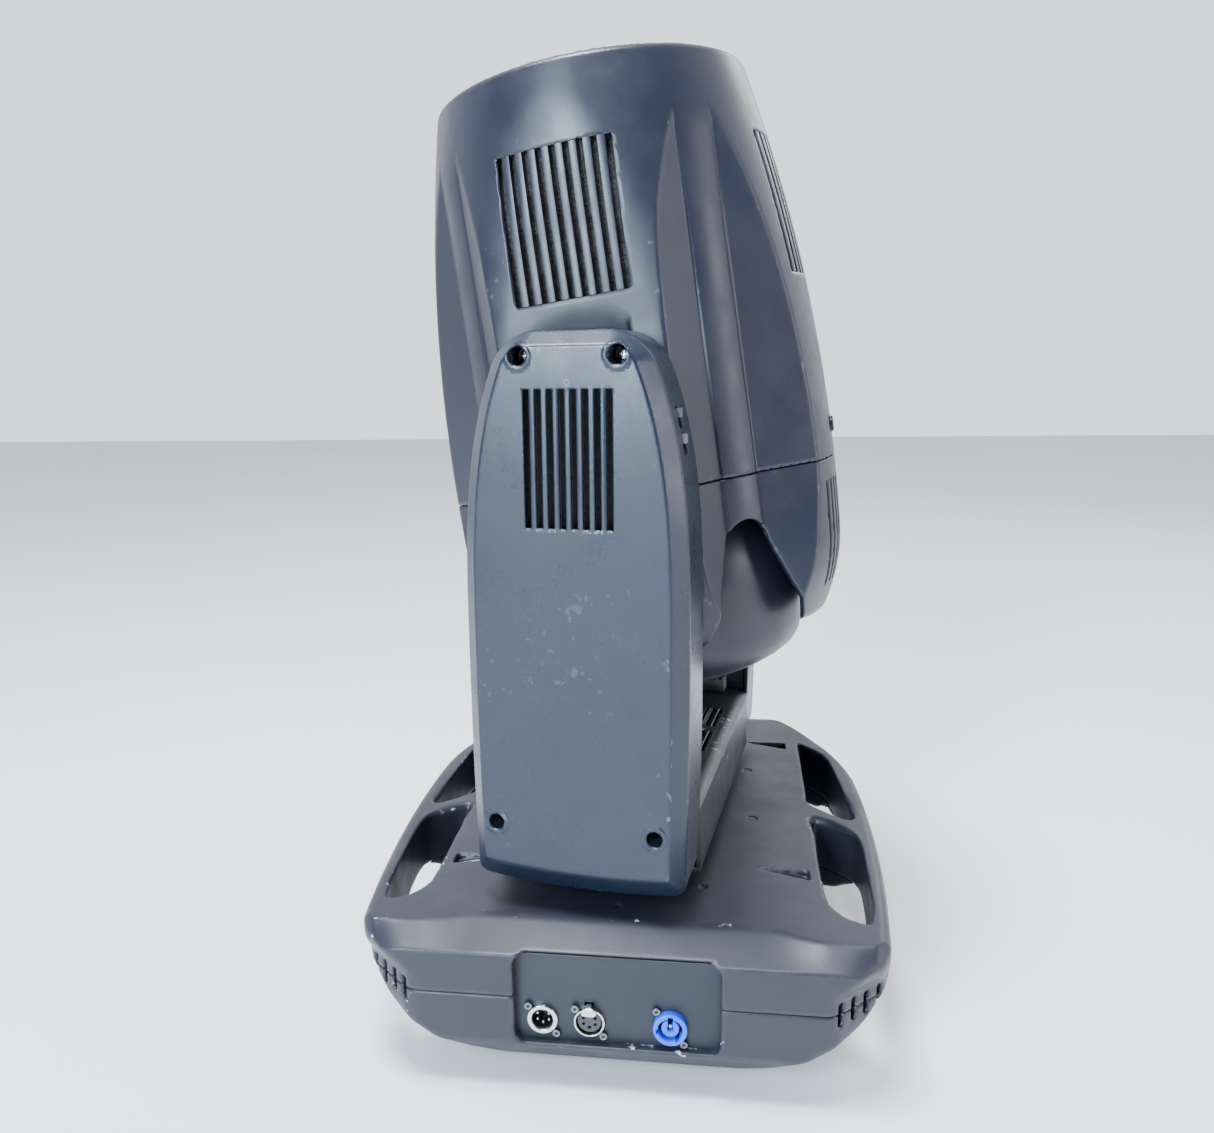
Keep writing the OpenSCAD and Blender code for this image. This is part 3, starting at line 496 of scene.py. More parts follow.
looks = {
    "shell_base": moulded("base_plastic", PURPLE, 0.42, wear=1.0, smudges=0.35),
    "shell_arm": moulded("arm_plastic", (0.0085, 0.0145, 0.029), 0.30, wear=0.15, smudges=0.75),
    "shell_head": moulded("head_plastic", SLATE, 0.36, wear=0.08, smudges=0.25),
    "shell_floor": moulded("yoke_plastic", (0.012, 0.013, 0.018), 0.38, wear=0.7, smudges=0.4),
    "dark_plastic": simple_plastic("dark_plastic", (0.014, 0.015, 0.019), 0.42),
    "panel": moulded("panel_paint", (0.013, 0.0165, 0.027), 0.46, wear=0.4, smudges=0.5, grain=0.00005),
    "steel": metal("zinc_steel", (0.42, 0.43, 0.45), 0.42, (1, 6, 1)),
    "machined": metal("machined_metal", (0.62, 0.62, 0.64), 0.26, (1, 1, 8)),
    "painted": simple_plastic("black_paint", (0.02, 0.02, 0.024), 0.45),
    "chromed": metal("nickel_plate", (0.78, 0.77, 0.75), 0.2),
    "inlet_blue": simple_plastic("blue_plastic", (0.012, 0.115, 0.90), 0.34),
    # A darker copy of the blue plastic for the well inside the power inlet: painted shade.
    "inlet_blue_painted_shade": simple_plastic("blue_plastic_painted_shade", (0.012, 0.03, 0.22), 0.4),
    "rubber": rubber("rubber"),
    "board": circuit_board("circuit_board"),
    "screen": display("display_glass"),
    "lens": glass("lens_glass", (0.93, 0.96, 0.98)),
    "button_plastic": simple_plastic("button_plastic", (0.16, 0.17, 0.19), 0.4),
    "foam": filter_foam("filter_foam"),
    "mesh": simple_plastic("dark_mesh", (0.008, 0.009, 0.012), 0.7),
    "lock_metal": metal("worn_steel", (0.52, 0.52, 0.54), 0.35),
    "screw": metal("bright_screw", (0.60, 0.60, 0.62), 0.3),
    "rivet": metal("dull_rivet", (0.24, 0.25, 0.29), 0.4),
    "socket": simple_plastic("socket_plastic", (0.012, 0.012, 0.015), 0.4),
    "insert": simple_plastic("insert_plastic", (0.050, 0.053, 0.060), 0.45),
}

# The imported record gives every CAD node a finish: here it gets the material that stands for it.
slot_of = {n: m["slot"] for m in frame["record"]["materials"] for n in m.get("nodes", [])}
slot_of.update(connector_panel="panel", menu_panel="panel", pan_lock="lock_metal", tilt_lock="lock_metal")
for name, obj in frame["nodes"].items():
    key = slot_of.get(name, "dark_plastic")
    obj.data.materials.clear()
    obj.data.materials.append(looks["shell_head" if key == "shell" else key])


# ---- Base ------------------------------------------------

base_low, base_high = node_box("base_upper_housing")
BASE_TOP = base_high[2]
BASE_HALF = base_high[0] - 0.1       # like REAR, a hair inside the CAD housing
FRONT = base_low[1] - pan_axis[1] / MM
REAR = base_high[1] - pan_axis[1] / MM - 0.3
SPLIT = base_low[2]                  # the seam between the two housings
PANEL_Y = node_box("connector_panel")[0][1] - pan_axis[1] / MM
PANEL_Z = 70.5                       # height of both panels' middles
HANDLE_Z = 55.0                      # underside of the side handles
WALL = 4.2
BROW_Z = 105.0                       # lower crease of the bevel above the connectors
CHIN_Z = 35.5                        # upper crease of the bevels below the connectors and the sides
SOLE_Z = 5.0                         # underside of the lower housing
SOLE_X = 122.0                       # half width of the underside
SIDE_BOW = 0.00032                   # the sides bow by this times the square of y
FRONT_CORNER = 269.4                 # distances of the corner facets from the axis
REAR_QUARTER = 225.8
REAR_CORNER = 264.5
VENT_PITCH, VENT_FIRST, VENTS = 12.7, -39.7, 5
VENT_R, VENT_HALF = 2.5, 6.5
VENT_FLOOR = 256.0                   # how far in the corner vents reach
SCOOP_INNER, SCOOP_OUTER = 97.0, 139.0
scoops = [(-111, -128), (158, 142)]  # y of a scoop's low edge at its inner and its outer end
RECESS = (71.5, 34.5, 8)             # half width, half height and corner radius of the panel recess
MENU_RECESS = (59, 28.5, 7)
RECESS_DEPTH = 30.0
ROOM_HALF, ROOM_FLOOR = 142.0, 8.5   # half width and floor of the hollow inside


def corner_facing(x, y):
    """Distance from the axis along the way that the front corner facets face."""
    return 0.671 * x - 0.742 * y


def base_outline(x, y, z):
    """The upright faces of the base; x is already folded to the right half."""
    side = x - (BASE_HALF - SIDE_BOW * y * y)
    swell = 12 * smooth((z - 80) / 25)
    out = both(side, corner_facing(x, y) - FRONT_CORNER - swell, 6)
    out = both(out, FRONT - y + 0.045 * np.maximum(BROW_Z - z, 0), 5)
    out = both(out, 0.916 * x + 0.401 * y - REAR_QUARTER, 18)
    out = both(out, 0.7071 * (x + y) - REAR_CORNER, 16)
    return both(out, y - REAR, 10)


def brow_bevel(x, y, z):
    """The bevel above the connectors: its front edge curls back at the corners and its crown narrows."""
    brow = FRONT + 17 * (np.maximum(x - 148.5, 0) / 34.5) ** 2
    crown = FRONT + 32 - 13 * smooth((x - 100) / 44)
    run = np.maximum(crown - brow, 9)
    rise = BASE_TOP - BROW_Z
    return (z - BROW_Z - rise * (y - brow) / run) / np.sqrt(1 + (rise / run) ** 2)


# Facets that turn in below the corners, the sides and the rear: three points of each, and its edge radius.
under_facets = [
    ((190, -193, 64), (142, -232, 45.5), (150, -190, CHIN_Z), 4),
    ((199.5, 0, 60), (150, 0, CHIN_Z), (150, 50, CHIN_Z), 3),
    ((150, 0, CHIN_Z), (SOLE_X, 0, SOLE_Z), (SOLE_X, 50, SOLE_Z), 3),
    ((188, 130, 62), (146, 226, 62), (150, 170, CHIN_Z), 4),
    ((150, 170, CHIN_Z), (130, 235, CHIN_Z), (SOLE_X, 195, SOLE_Z), 3),
    ((0, REAR - 4, CHIN_Z), (50, REAR - 4, CHIN_Z), (0, REAR - 34, SOLE_Z), 3),
]


def base_form(p):
    """The outer form of the base before any opening."""
    x, y, z = np.abs(p[:, 0]), p[:, 1], p[:, 2]
    folded = np.stack([x, y, z], 1)
    form = both(base_outline(x, y, z), z - BASE_TOP, 8)
    form = both(form, brow_bevel(x, y, z), 1.4)
    form = both(form, -plane2(y, z, (REAR, BROW_Z), (REAR - 22, BASE_TOP)), 5)
    chin = -0.690 * (y - FRONT - 3) - 0.724 * (z - CHIN_Z)
    form = both(form, chin, 2.5)
    for a, b, c, r in under_facets:
        form = both(form, plane3(folded, a, b, c), r)
    return both(form, SOLE_Z - z, 2)


# Outlines of the hand holes in the right half, and of the hollow under the handles.
hand_front = [(146, -142), (150, -16), (157, -17), (183, -43), (186, -56), (185, -107), (179, -176),
              (175, -187), (161, -182), (152, -171), (147, -159)]
hand_rear = [(149, 16), (151, 162), (166, 146), (178, 124), (185, 44), (186, -12), (182, -16), (155, 7)]
hand_under = [(146, -150), (146, 150), (152, 166), (220, 150), (220, -190), (175, -190), (161, -182),
              (152, -171)]


def scooped(p, form):
    """The form with its four wedge-shaped finger scoops."""
    x, y, z = np.abs(p[:, 0]), p[:, 1], p[:, 2]
    for near, far in scoops:
        wedge = both(-plane2(x, y, (SCOOP_INNER, near), (SCOOP_OUTER, far)), y - near)
        wedge = both(wedge, x - SCOOP_OUTER, 3)
        wedge = both(wedge, BASE_TOP - z - 0.15 * (x - SCOOP_INNER))
        form = cut(form, wedge, 0.8)
    return form


def base_openings(p, form):
    """Hand holes, corner vents and the two panel recesses."""
    x, y, z = np.abs(p[:, 0]), p[:, 1], p[:, 2]
    holes = np.minimum(polygon(x, y, hand_front, 5), polygon(x, y, hand_rear, 5))
    soft = 2.2 + 4.5 * smooth(1.6 - np.abs(y + 5) / 28)
    form = cut(form, holes, soft)
    form = cut(form, both(z - HANDLE_Z, polygon(x, y, hand_under, 5), 2), 6.5)
    along = 0.742 * x + 0.671 * y
    slot = np.clip(np.round((along - VENT_FIRST) / VENT_PITCH), 0, VENTS - 1) * VENT_PITCH + VENT_FIRST
    vent = np.hypot(along - slot, np.maximum(np.abs(z - SPLIT) - VENT_HALF, 0)) - VENT_R
    form = cut(form, both(vent, VENT_FLOOR - corner_facing(x, y)), 0.6)
    recess = both(round_rect(p[:, 0], z - PANEL_Z, *RECESS), y - PANEL_Y - RECESS_DEPTH)
    form = cut(form, recess, 2.6)
    menu = both(round_rect(p[:, 0], z - PANEL_Z, *MENU_RECESS), REAR - RECESS_DEPTH - y)
    return cut(form, menu, 2.0)


def base_shell(p):
    """The hollow base: its room stops short of the handles and of a frame round each panel."""
    form = scooped(p, base_form(p))
    x, y, z = np.abs(p[:, 0]), p[:, 1], p[:, 2]
    room = both(form + WALL, x - ROOM_HALF, 3)
    room = both(room, ROOM_FLOOR - z)
    frame_front = both(round_rect(p[:, 0], z - 70.25, 75, 37.75, 10), y - PANEL_Y - 2)
    frame_rear = both(round_rect(p[:, 0], z - PANEL_Z, 63, 32.5, 10), REAR - 12 - y)
    room = cut(cut(room, frame_front), frame_rear)
    return cut(base_openings(p, form), room, 0.5)


SEAM = 0.25          # half of the gap between the two housings
screw_spots = [(-99, -23), (99, -23), (-98, 83), (98, 83)]
dimples = [(-3, -179), (58.5, -145)]


def base_upper(p):
    shell = both(base_shell(p), SPLIT + SEAM - p[:, 2], 0.9)
    well = np.hypot(p[:, 0], p[:, 1]) - 34
    for x, y in screw_spots:
        spot = np.hypot(p[:, 0] - x, p[:, 1] - y)
        counterbore = both(spot - 4, BASE_TOP - 1.5 - p[:, 2])
        well = np.minimum(well, np.minimum(counterbore, both(spot - 2.2, 90 - p[:, 2])))
    for x, y in dimples:
        well = np.minimum(well, np.linalg.norm(p - [x, y, BASE_TOP + 2.5], axis=1) - 4)
    return cut(shell, well, 0.6)


def base_lower(p):
    shell = both(base_shell(p), p[:, 2] - SPLIT + SEAM, 0.9)
    hatch = both(np.abs(p[:, 0]) - 108, slab(p[:, 1], -182, 188))
    return cut(shell, both(hatch, p[:, 2] - 20), 0.6)


margin = 6
low = [-BASE_HALF - margin, FRONT - margin, 0]
high = [BASE_HALF + margin, REAR + margin, BASE_TOP + margin]
shell_piece("base_upper_shell", base_upper, [low[0], low[1], SPLIT - 4], high, 2.3, BASE,
            ["base_upper_housing"], "base", "shell", looks["shell_base"])
shell_piece("base_lower_shell", base_lower, low, [high[0], high[1], SPLIT + 4], 2.3, BASE,
            ["base_lower_housing"], "base", "shell", looks["shell_base"])


# ---- Yoke ------------------------------------------------

ARM_OUTER = 201.2        # outer and inner faces of an arm, from the pan axis
ARM_INNER = 137.0
ARM_WALL = 3.5
ARM_TOP = node_box("arm_cover_near")[1][2]
ARM_HALF = 79.4          # half width of an arm where it is widest
ARM_WAIST = 300.0        # height of that place
BEZEL = 10.4             # the bevel round the outer face: its width and its depth
BEZEL_DEPTH = 12.5
ARM_SLOT_PITCH, ARM_SLOT_FIRST, ARM_SLOTS = 8.06, -28.2, 8
ARM_GRILLE_LOW, ARM_GRILLE_HIGH = 397.0, 489.0
PIP_Z, PIP_R = 493.5, 1.6
LOCK_Y = 167.0
lock_windows = [452.0, 469.0]
arm_screws = [(33.6, ARM_TOP - 16.5, 6.3), (57.5, 183.7, 5.6)]     # x, z and the radius of the hole


def arm_half(z):
    """Half width of an arm at a height."""
    lower = ARM_HALF - 2.4 * ((ARM_WAIST - z) / 150) ** 2
    upper = ARM_HALF - 3.2e-7 * np.maximum(z - ARM_WAIST, 0) ** 3.4
    return np.where(z < ARM_WAIST, lower, upper)


def arm_outline(x, z):
    out = both((x - arm_half(z)) * 0.985, z - ARM_TOP, 22)
    foot = 131 + 5 * (x / 75) ** 2
    return both(out, foot - z, 9)


def arm_form(x, y, z):
    """The outer form of an arm, with its bevelled rim and its sloping foot."""
    outline = arm_outline(x, z)
    form = both(outline, y - ARM_OUTER)
    slope = math.hypot(BEZEL, BEZEL_DEPTH)
    bezel = (BEZEL_DEPTH * outline + BEZEL * (y - ARM_OUTER + BEZEL_DEPTH)) / slope
    deep_foot = 0.62 * (150 + 4 * (x / 70) ** 2 - z) + 0.78 * (y - ARM_OUTER)
    form = both(form, bezel, 0.7)
    return both(form, deep_foot, 1.6)


def arm_cover(side):
    """The near arm's cover, side -1, which has the tilt lock's windows, or the far arm's, side 1."""
    def field(p):
        x, y, z = np.abs(p[:, 0]), side * p[:, 1], p[:, 2]
        form = arm_form(x, y, z)
        out = cut(form, form + ARM_WALL)
        for screw_x, screw_z, r in arm_screws:
            spot = np.hypot(x - screw_x, z - screw_z)
            boss = both(both(spot - 8.5, form), ARM_INNER + 23 - y)
            out = either(out, boss, 1.5)
            out = cut(out, both(spot - r, ARM_OUTER - 20 - y), 1.0)
            out = cut(out, spot - 2.2)
        index = np.clip(np.round((p[:, 0] - ARM_SLOT_FIRST) / ARM_SLOT_PITCH), 0, ARM_SLOTS - 1)
        slot = index * ARM_SLOT_PITCH + ARM_SLOT_FIRST
        grille = both(np.abs(p[:, 0] - slot) - 2.1, slab(z, ARM_GRILLE_LOW, ARM_GRILLE_HIGH))
        out = cut(out, both(grille, ARM_OUTER - 12 - y), 0.5)
        pip = np.sqrt(x * x + (z - PIP_Z) ** 2 + (y - ARM_OUTER + 0.6) ** 2) - PIP_R
        out = np.minimum(out, pip)
        if side < 0:
            for middle in lock_windows:
                window = both(round_rect(y - LOCK_Y, z - middle, 6, 7, 1), 45 - p[:, 0])
                out = cut(out, window, 0.6)
        return both(out, ARM_INNER - y, 0.8)
    return field


for side, which in ((-1, "near"), (1, "far")):
    y0, y1 = sorted((side * (ARM_INNER - 4), side * (ARM_OUTER + 4)))
    shell_piece(f"arm_shell_{which}", arm_cover(side), [-86, y0, 124], [86, y1, ARM_TOP + 5], 1.4, YOKE,
                [f"arm_cover_{which}"], "yoke", "shell", looks["shell_arm"], stretch=1.5)


def arm_filter(p):
    """Dark mesh pads behind the arms' grilles."""
    pad = round_rect(p[:, 0], p[:, 2] - (ARM_GRILLE_LOW + ARM_GRILLE_HIGH) / 2, 37, 52, 3)
    weave = 0.35 * np.sin(p[:, 0] * 1.3) * np.sin(p[:, 2] * 1.3)
    return both(pad, slab(np.abs(p[:, 1]), ARM_OUTER - 13, ARM_OUTER - 9.5 + weave), 0.5)


LOUVRE_PITCH, LOUVRE_FIRST, LOUVRES = 6, 44, 4
LOUVRE_ROW_PITCH, LOUVRE_ROW_FIRST, LOUVRE_ROWS = 60, -72, 3
LOUVRE_HALF = 23         # half length of a louvre


def floor_cover(p):
    """The crowned cover between the arms, with thin louvres."""
    x, y, z = np.abs(p[:, 0]), p[:, 1], p[:, 2]
    form = both(x - 78, z - 188 + 0.0016 * np.maximum(x - 25, 0) ** 2, 1.5)
    form = both(form, 0.5 * (x - 70) + 0.866 * (z - 186), 1.5)
    out = cut(form, form + 3)
    index = np.clip(np.round((x - LOUVRE_FIRST) / LOUVRE_PITCH), 0, LOUVRES - 1)
    louvre = index * LOUVRE_PITCH + LOUVRE_FIRST
    index = np.clip(np.round((y - LOUVRE_ROW_FIRST) / LOUVRE_ROW_PITCH), 0, LOUVRE_ROWS - 1)
    row = np.abs(y - (index * LOUVRE_ROW_PITCH + LOUVRE_ROW_FIRST)) - LOUVRE_HALF
    out = cut(out, both(both(np.abs(x - louvre) - 1.1, row), 170 - z), 0.4)
    blade = both(np.abs(x - louvre - 1.9) - 0.5, row)
    out = either(out, both(blade, slab(z, 184, 188.4), 0.4), 0.3)
    return both(both(out, np.abs(y) - ARM_INNER + 0.3, 0.6), 134 - z, 0.5)


add_piece("arm_filters",
          repeated(surface(arm_filter, [-42, ARM_OUTER - 16, 386], [42, ARM_OUTER - 6, 500], 1.6 * FINE),
                   [(0, 0, 0, 1), (0, 0, 0, -1)]),
          YOKE, [], "yoke", "dark_plastic", looks["mesh"])
shell_piece("floor_cover", floor_cover, [-88, -142, 130], [88, 142, 194], 1.5, YOKE,
            ["yoke_top_cover"], "yoke", "shell", looks["shell_floor"])


# ---- Head ------------------------------------------------

HEAD_R = 157.0
RIM = 272.0
PARTING = -34.0      # height of the seam between the two shrouds
SEAM_GAP = 0.4       # what each shroud stays back from it
SKIN = 4.6
FLAT = 134.5         # half width between the arms
VALLEY = 131.5       # distance of the channel floors from the axis
RIB_HALF = 15.5
TONGUE_TIP = -157.0
TAIL_ROOM = 119.8    # radius that the rear shroud leaves for the tail
TRUNNION_HOLE, FASTENER_HOLE = 18, 8
FASTENER_S = -10
ARCH_S, ARCH_R = -86, 20


def barrel(s):
    """Radius of the bulging panels, which turn in over the tail."""
    return HEAD_R - 0.000395 * (s + 25) ** 2 - 0.0034 * np.maximum(-90 - s, 0) ** 2


def head_form(x, y, s):
    """Four bulging panels, flattened next to the arms and parted by a ribbed channel along each diagonal."""
    ax, ay = np.abs(x), np.abs(y)
    round_r = barrel(s)
    skin = (np.hypot(x, y) - round_r) * 0.98
    form = both(skin, ay - FLAT, 8)
    u, w = (ax + ay) * math.sqrt(0.5), np.abs(ax - ay) * math.sqrt(0.5)
    slope = 0.2 + 0.24 * smooth((-30 - s) / 115)
    channel = (u - VALLEY - slope * np.maximum(w - RIB_HALF, 0)) / np.sqrt(1 + slope ** 2)
    crown = VALLEY + 2.2 + 2.0 * smooth((200 - s) / 300) - 0.007 * w * w
    rib = both(both(u - crown, w - RIB_HALF, 1.0), form, 2)
    return np.minimum(both(form, channel, 1.0), rib)


GRILLE_MIDDLE, GRILLE_LONG, GRILLE_HALF = 160.0, 52.0, 42.2
BARS, BAR_PITCH, BAR_HALF = 8, 10.0, 2.8
BAR_ROWS = 25
SETTLE = 12          # steps in which a bar's points find the head's surface

# Half a bar's section and its mirror image: across, in half widths, and depth below the surface.
half_section = [(1, -3.6), (1, -0.35), (0.94, -0.08), (0.84, 0)]
bar_section = [(-across, depth) for across, depth in half_section] + half_section[::-1]


def head_bars(turned):
    """The bars of the two front grilles that face along Y, or along X when turned."""
    across, depth = np.array(bar_section).T
    along = np.linspace(-GRILLE_LONG, GRILLE_LONG, BAR_ROWS) + GRILLE_MIDDLE
    ring = np.arange(len(bar_section))
    verts, faces, count = [], [], 0
    for side, index in itertools.product((-1, 1), range(BARS)):
        place = (index - (BARS - 1) / 2) * BAR_PITCH
        c, s = np.meshgrid(place + across * BAR_HALF, along)
        out = np.full(c.shape, VALLEY)
        for _ in range(SETTLE):
            x, y = (out, c) if turned else (c, out)
            out = out - head_form(x.ravel(), y.ravel(), s.ravel()).reshape(c.shape)
        out = side * (out + depth)
        x, y = (out, c) if turned else (c, out)
        verts.append(np.stack([x, y, s], -1).reshape(-1, 3))
        for row in range(BAR_ROWS - 1):
            a = count + row * len(ring) + ring
            b = count + row * len(ring) + np.roll(ring, -1)
            quad = np.stack([a, b, b + len(ring), a + len(ring)], 1)
            faces.append(quad if (side < 0) != turned else quad[:, ::-1])
        count += c.size
    return np.concatenate(verts), np.concatenate(faces)


def bars_piece():
    """One piece with the bars of all four front grilles, flat-topped with crisp edges."""
    (verts, faces), (more_verts, more_faces) = head_bars(False), head_bars(True)
    faces = np.concatenate([faces, more_faces + len(verts)])
    verts = np.concatenate([verts, more_verts])
    mesh = bpy.data.meshes.new("head_grille_bars")
    mesh.from_pydata(((verts * MM) @ HEAD[:3, :3].T + HEAD[:3, 3]).tolist(), [], faces.tolist())
    mesh.materials.append(looks["shell_head"])
    mesh.shade_smooth()
    mesh.set_sharp_from_angle(angle=math.radians(22))
    obj = link(bpy.data.objects.new("head_grille_bars", mesh))
    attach(obj, "head")


def head_pocket(ax, ay, s):
    """The hollow above each arm: it fades in below the grille and gets deeper downwards."""
    deep = 6.5 * smooth((109 - s) / 46)
    return both(both(ax - 38 - 0.02 * (60 - s), FLAT - deep + 0.0022 * ax ** 2 - ay), slab(s, -60, 112), 1)


def head_outer(p):
    """The head's outer form, with a pocket above each arm."""
    x, y, s = p[:, 0], p[:, 1], p[:, 2]
    return cut(head_form(x, y, s), head_pocket(np.abs(x), np.abs(y), s), 1.5)


def head_front(p):
    """The front shroud: windows for the grilles, and holes over the trunnions and the fasteners."""
    x, y, s = p[:, 0], p[:, 1], p[:, 2]
    ax, ay = np.abs(x), np.abs(y)
    form = head_outer(p)
    out = cut(both(form, s - RIM, 4.5), form + SKIN)
    window = round_rect(np.minimum(ax, ay), s - GRILLE_MIDDLE, GRILLE_HALF, GRILLE_LONG, 1)
    out = cut(out, both(window, 90 - np.maximum(ax, ay)), 0.6)
    out = cut(out, both(np.hypot(x, s) - TRUNNION_HOLE, 60 - ay), 0.6)
    out = cut(out, both(np.hypot(y, s - FASTENER_S) - FASTENER_HOLE, 60 - ax), 0.5)
    return both(out, PARTING + SEAM_GAP - s, 0.9)


def arch(ax, ay, s):
    """The round-headed openings between the tongues of the rear shroud."""
    w = np.abs(ax - ay) * math.sqrt(0.5)
    head = np.hypot(w, s - ARCH_S) - ARCH_R
    legs = both((w - ARCH_R - 0.38 * (ARCH_S + 1.5 - s)) * 0.935, s - ARCH_S)
    return np.minimum(head, legs)


def head_rear(p):
    """The rear shroud, with four tongues that reach down over the tail."""
    x, y, s = p[:, 0], p[:, 1], p[:, 2]
    ax, ay = np.abs(x), np.abs(y)
    form = head_outer(p)
    w = np.minimum(ax, ay)
    tip = TONGUE_TIP + 0.0011 * w ** 2
    out = cut(both(form, tip - s, 6), form + SKIN)
    out = cut(out, arch(ax, ay, s), 1.2)
    out = cut(out, np.hypot(x, y) - TAIL_ROOM)
    middle = np.clip(np.round(y / BAR_PITCH), -4, 4) * BAR_PITCH
    slots = both(round_rect(y - middle, s + 90, 2.3, 40, 1.0), 90 - ax)
    out = cut(out, slots, 0.6)
    return both(out, s - PARTING + SEAM_GAP, 0.9)


def grille_filter(p):
    """Foam pads close behind the grilles of the front shroud and the side grilles of the rear one."""
    x, y, s = p[:, 0], p[:, 1], p[:, 2]
    ax, ay = np.abs(x), np.abs(y)
    sheet = slab(head_form(x, y, s) + SKIN, -6.5, -2.2)
    front = both(np.minimum(ax, ay) - 52, slab(s, 100, 219))
    rear = both(both(ay - 49, slab(s, -136, -44)), 60 - ax)
    return both(sheet, np.minimum(front, rear), 0.5)


shell_piece("head_front_shell", head_front, [-162, -153, PARTING - 4], [162, 153, RIM + 5], 2.2, HEAD,
            ["head_front_shroud"], "head", "shell", looks["shell_head"], stretch=1.45)
bars_piece()
shell_piece("head_rear_shell", head_rear, [-162, -142, -164], [162, 142, PARTING + 4], 1.9, HEAD,
            ["head_rear_shroud"], "head", "shell", looks["shell_head"])
shell_piece("grille_foam", grille_filter, [-160, -150, -140], [160, 150, 222], 2.4, HEAD,
            [], "head", "dark_plastic", looks["foam"])


# ---- Connectors ------------------------------------------

# Each socket is modelled about its own middle and faces -Y; the panel's front is at y = 0.

SOCKET_Z = 51.7
DATA_IN_X, DATA_THRU_X, POWER_X = -52.7, -19.5, 37.0
DATA_R = 10.9        # outer radius of the data sockets' rings
PIN_CIRCLE = 4.7
INLET_R = 11.9
INLET_CORE_R = 6.2


def disc(p, r, front, back, x=0.0, z=0.0):
    return both(np.hypot(p[:, 0] - x, p[:, 2] - z) - r, slab(p[:, 1], front, back))


def contacts(p, r, front, back):
    """Five round pins or holes on a circle, with the key side left open."""
    spots = [math.radians(90 + 60 * i) for i in range(1, 6)]
    circle = [(PIN_CIRCLE * math.cos(a), PIN_CIRCLE * math.sin(a)) for a in spots]
    return np.min([disc(p, r, front, back, x, z) for x, z in circle], axis=0)


def socket_ring(p, r, front, rounding):
    """A round-edged disc from front to 3 mm behind the panel's face."""
    return both(np.hypot(p[:, 0], p[:, 2]) - r, slab(p[:, 1], front, 3), rounding)


def data_in_ring(p):
    return cut(socket_ring(p, DATA_R, -3, 0.8), disc(p, 7.7, -9, 9), 0.8)


def data_in_core(p):
    """The dark cup of the data input, with its key."""
    cup = cut(disc(p, 8.6, -1.6, 14), disc(p, 7.3, -9, 11), 0.3)
    key = both(both(np.abs(p[:, 0]) - 1.5, slab(p[:, 2], 5.6, 8)), slab(p[:, 1], -1, 12), 0.3)
    return np.minimum(cup, key)


def data_in_pins(p):
    return both(contacts(p, 0.95, 1.2, 12), 0.8 - p[:, 1], 0.5)


def data_thru_ring(p):
    return cut(socket_ring(p, DATA_R, -3, 0.6), disc(p, 9.5, -9, 9), 0.4)


def data_thru_core(p):
    """The insert of the data output, with its holes and keyway."""
    body = both(np.hypot(p[:, 0], p[:, 2]) - 8.5, slab(p[:, 1], -0.8, 9), 0.5)
    back = disc(p, 9.6, 4, 9)
    keyway = both(np.abs(p[:, 0]) - 1.6, slab(p[:, 2], 6.4, 12))
    insert = cut(np.minimum(body, back), contacts(p, 1.2, -5, 5), 0.2)
    return cut(insert, both(keyway, p[:, 1] - 5), 0.2)


def latch_tab(p):
    """The pill-shaped tab in front of the data output's ring, on a stem from the panel's slot."""
    pill = both(round_rect(p[:, 0], p[:, 2] - 9.6, 5.4, 2.9, 2.8), slab(p[:, 1], -6.35, -4.55), 0.7)
    stem = both(round_rect(p[:, 0], p[:, 2] - 12.6, 1.9, 0.9, 0.4), slab(p[:, 1], -5.6, 2))
    return either(pill, stem, 0.4)


def inlet_ring(p):
    """The power inlet's keyed ring and its slotted core."""
    ring = cut(socket_ring(p, INLET_R, -5.5, 1.0), disc(p, 8.6, -9, 13), 0.6)
    for a in (88, 190, 305):
        c, s = math.cos(math.radians(a)), math.sin(math.radians(a))
        along, across = p[:, 0] * c + p[:, 2] * s, p[:, 2] * c - p[:, 0] * s
        ring = cut(ring, both(np.abs(across) - 1.7, slab(along, 4, 10)), 0.3)
    core = both(np.hypot(p[:, 0], p[:, 2]) - INLET_CORE_R, slab(p[:, 1], -3.2, 9), 0.7)
    core = cut(core, disc(p, 2.3, -9, 6), 0.3)
    return np.minimum(ring, cut(core, both(np.abs(p[:, 0]) - 1.7, slab(p[:, 2], 0, 9)), 0.4))


def inlet_well(p):
    return cut(disc(p, 11.2, -1.5, 11), disc(p, 9.9, -9, 8.5), 0.3)


def inlet_contacts(p):
    """The inlet's middle rod and its three blades."""
    rod = both(np.hypot(p[:, 0], p[:, 2]) - 1.5, slab(p[:, 1], -0.6, 8), 0.5)
    for a in (30, 150, 270):
        blade = disc(p, 0.95, 2.5, 9, 7.5 * math.cos(math.radians(a)), 7.5 * math.sin(math.radians(a)))
        rod = np.minimum(rod, blade)
    return rod


def rivet(p):
    """The raised rim of a flange screw."""
    rim = both(np.hypot(p[:, 0], p[:, 2]) - 2.7, slab(p[:, 1], -3.2, -1.2), 0.4)
    return cut(rim, disc(p, 1.3, -9, -2.6), 0.3)


def at_socket(name, field, x, reach, step, node, body, slot, look):
    part = surface(field, [-reach, -7, -reach], [reach, 15, reach + 2], step * FINE)
    add_piece(name, repeated(part, [(x, PANEL_Y, SOCKET_Z)]), BASE, [node], body, slot, looks[look])


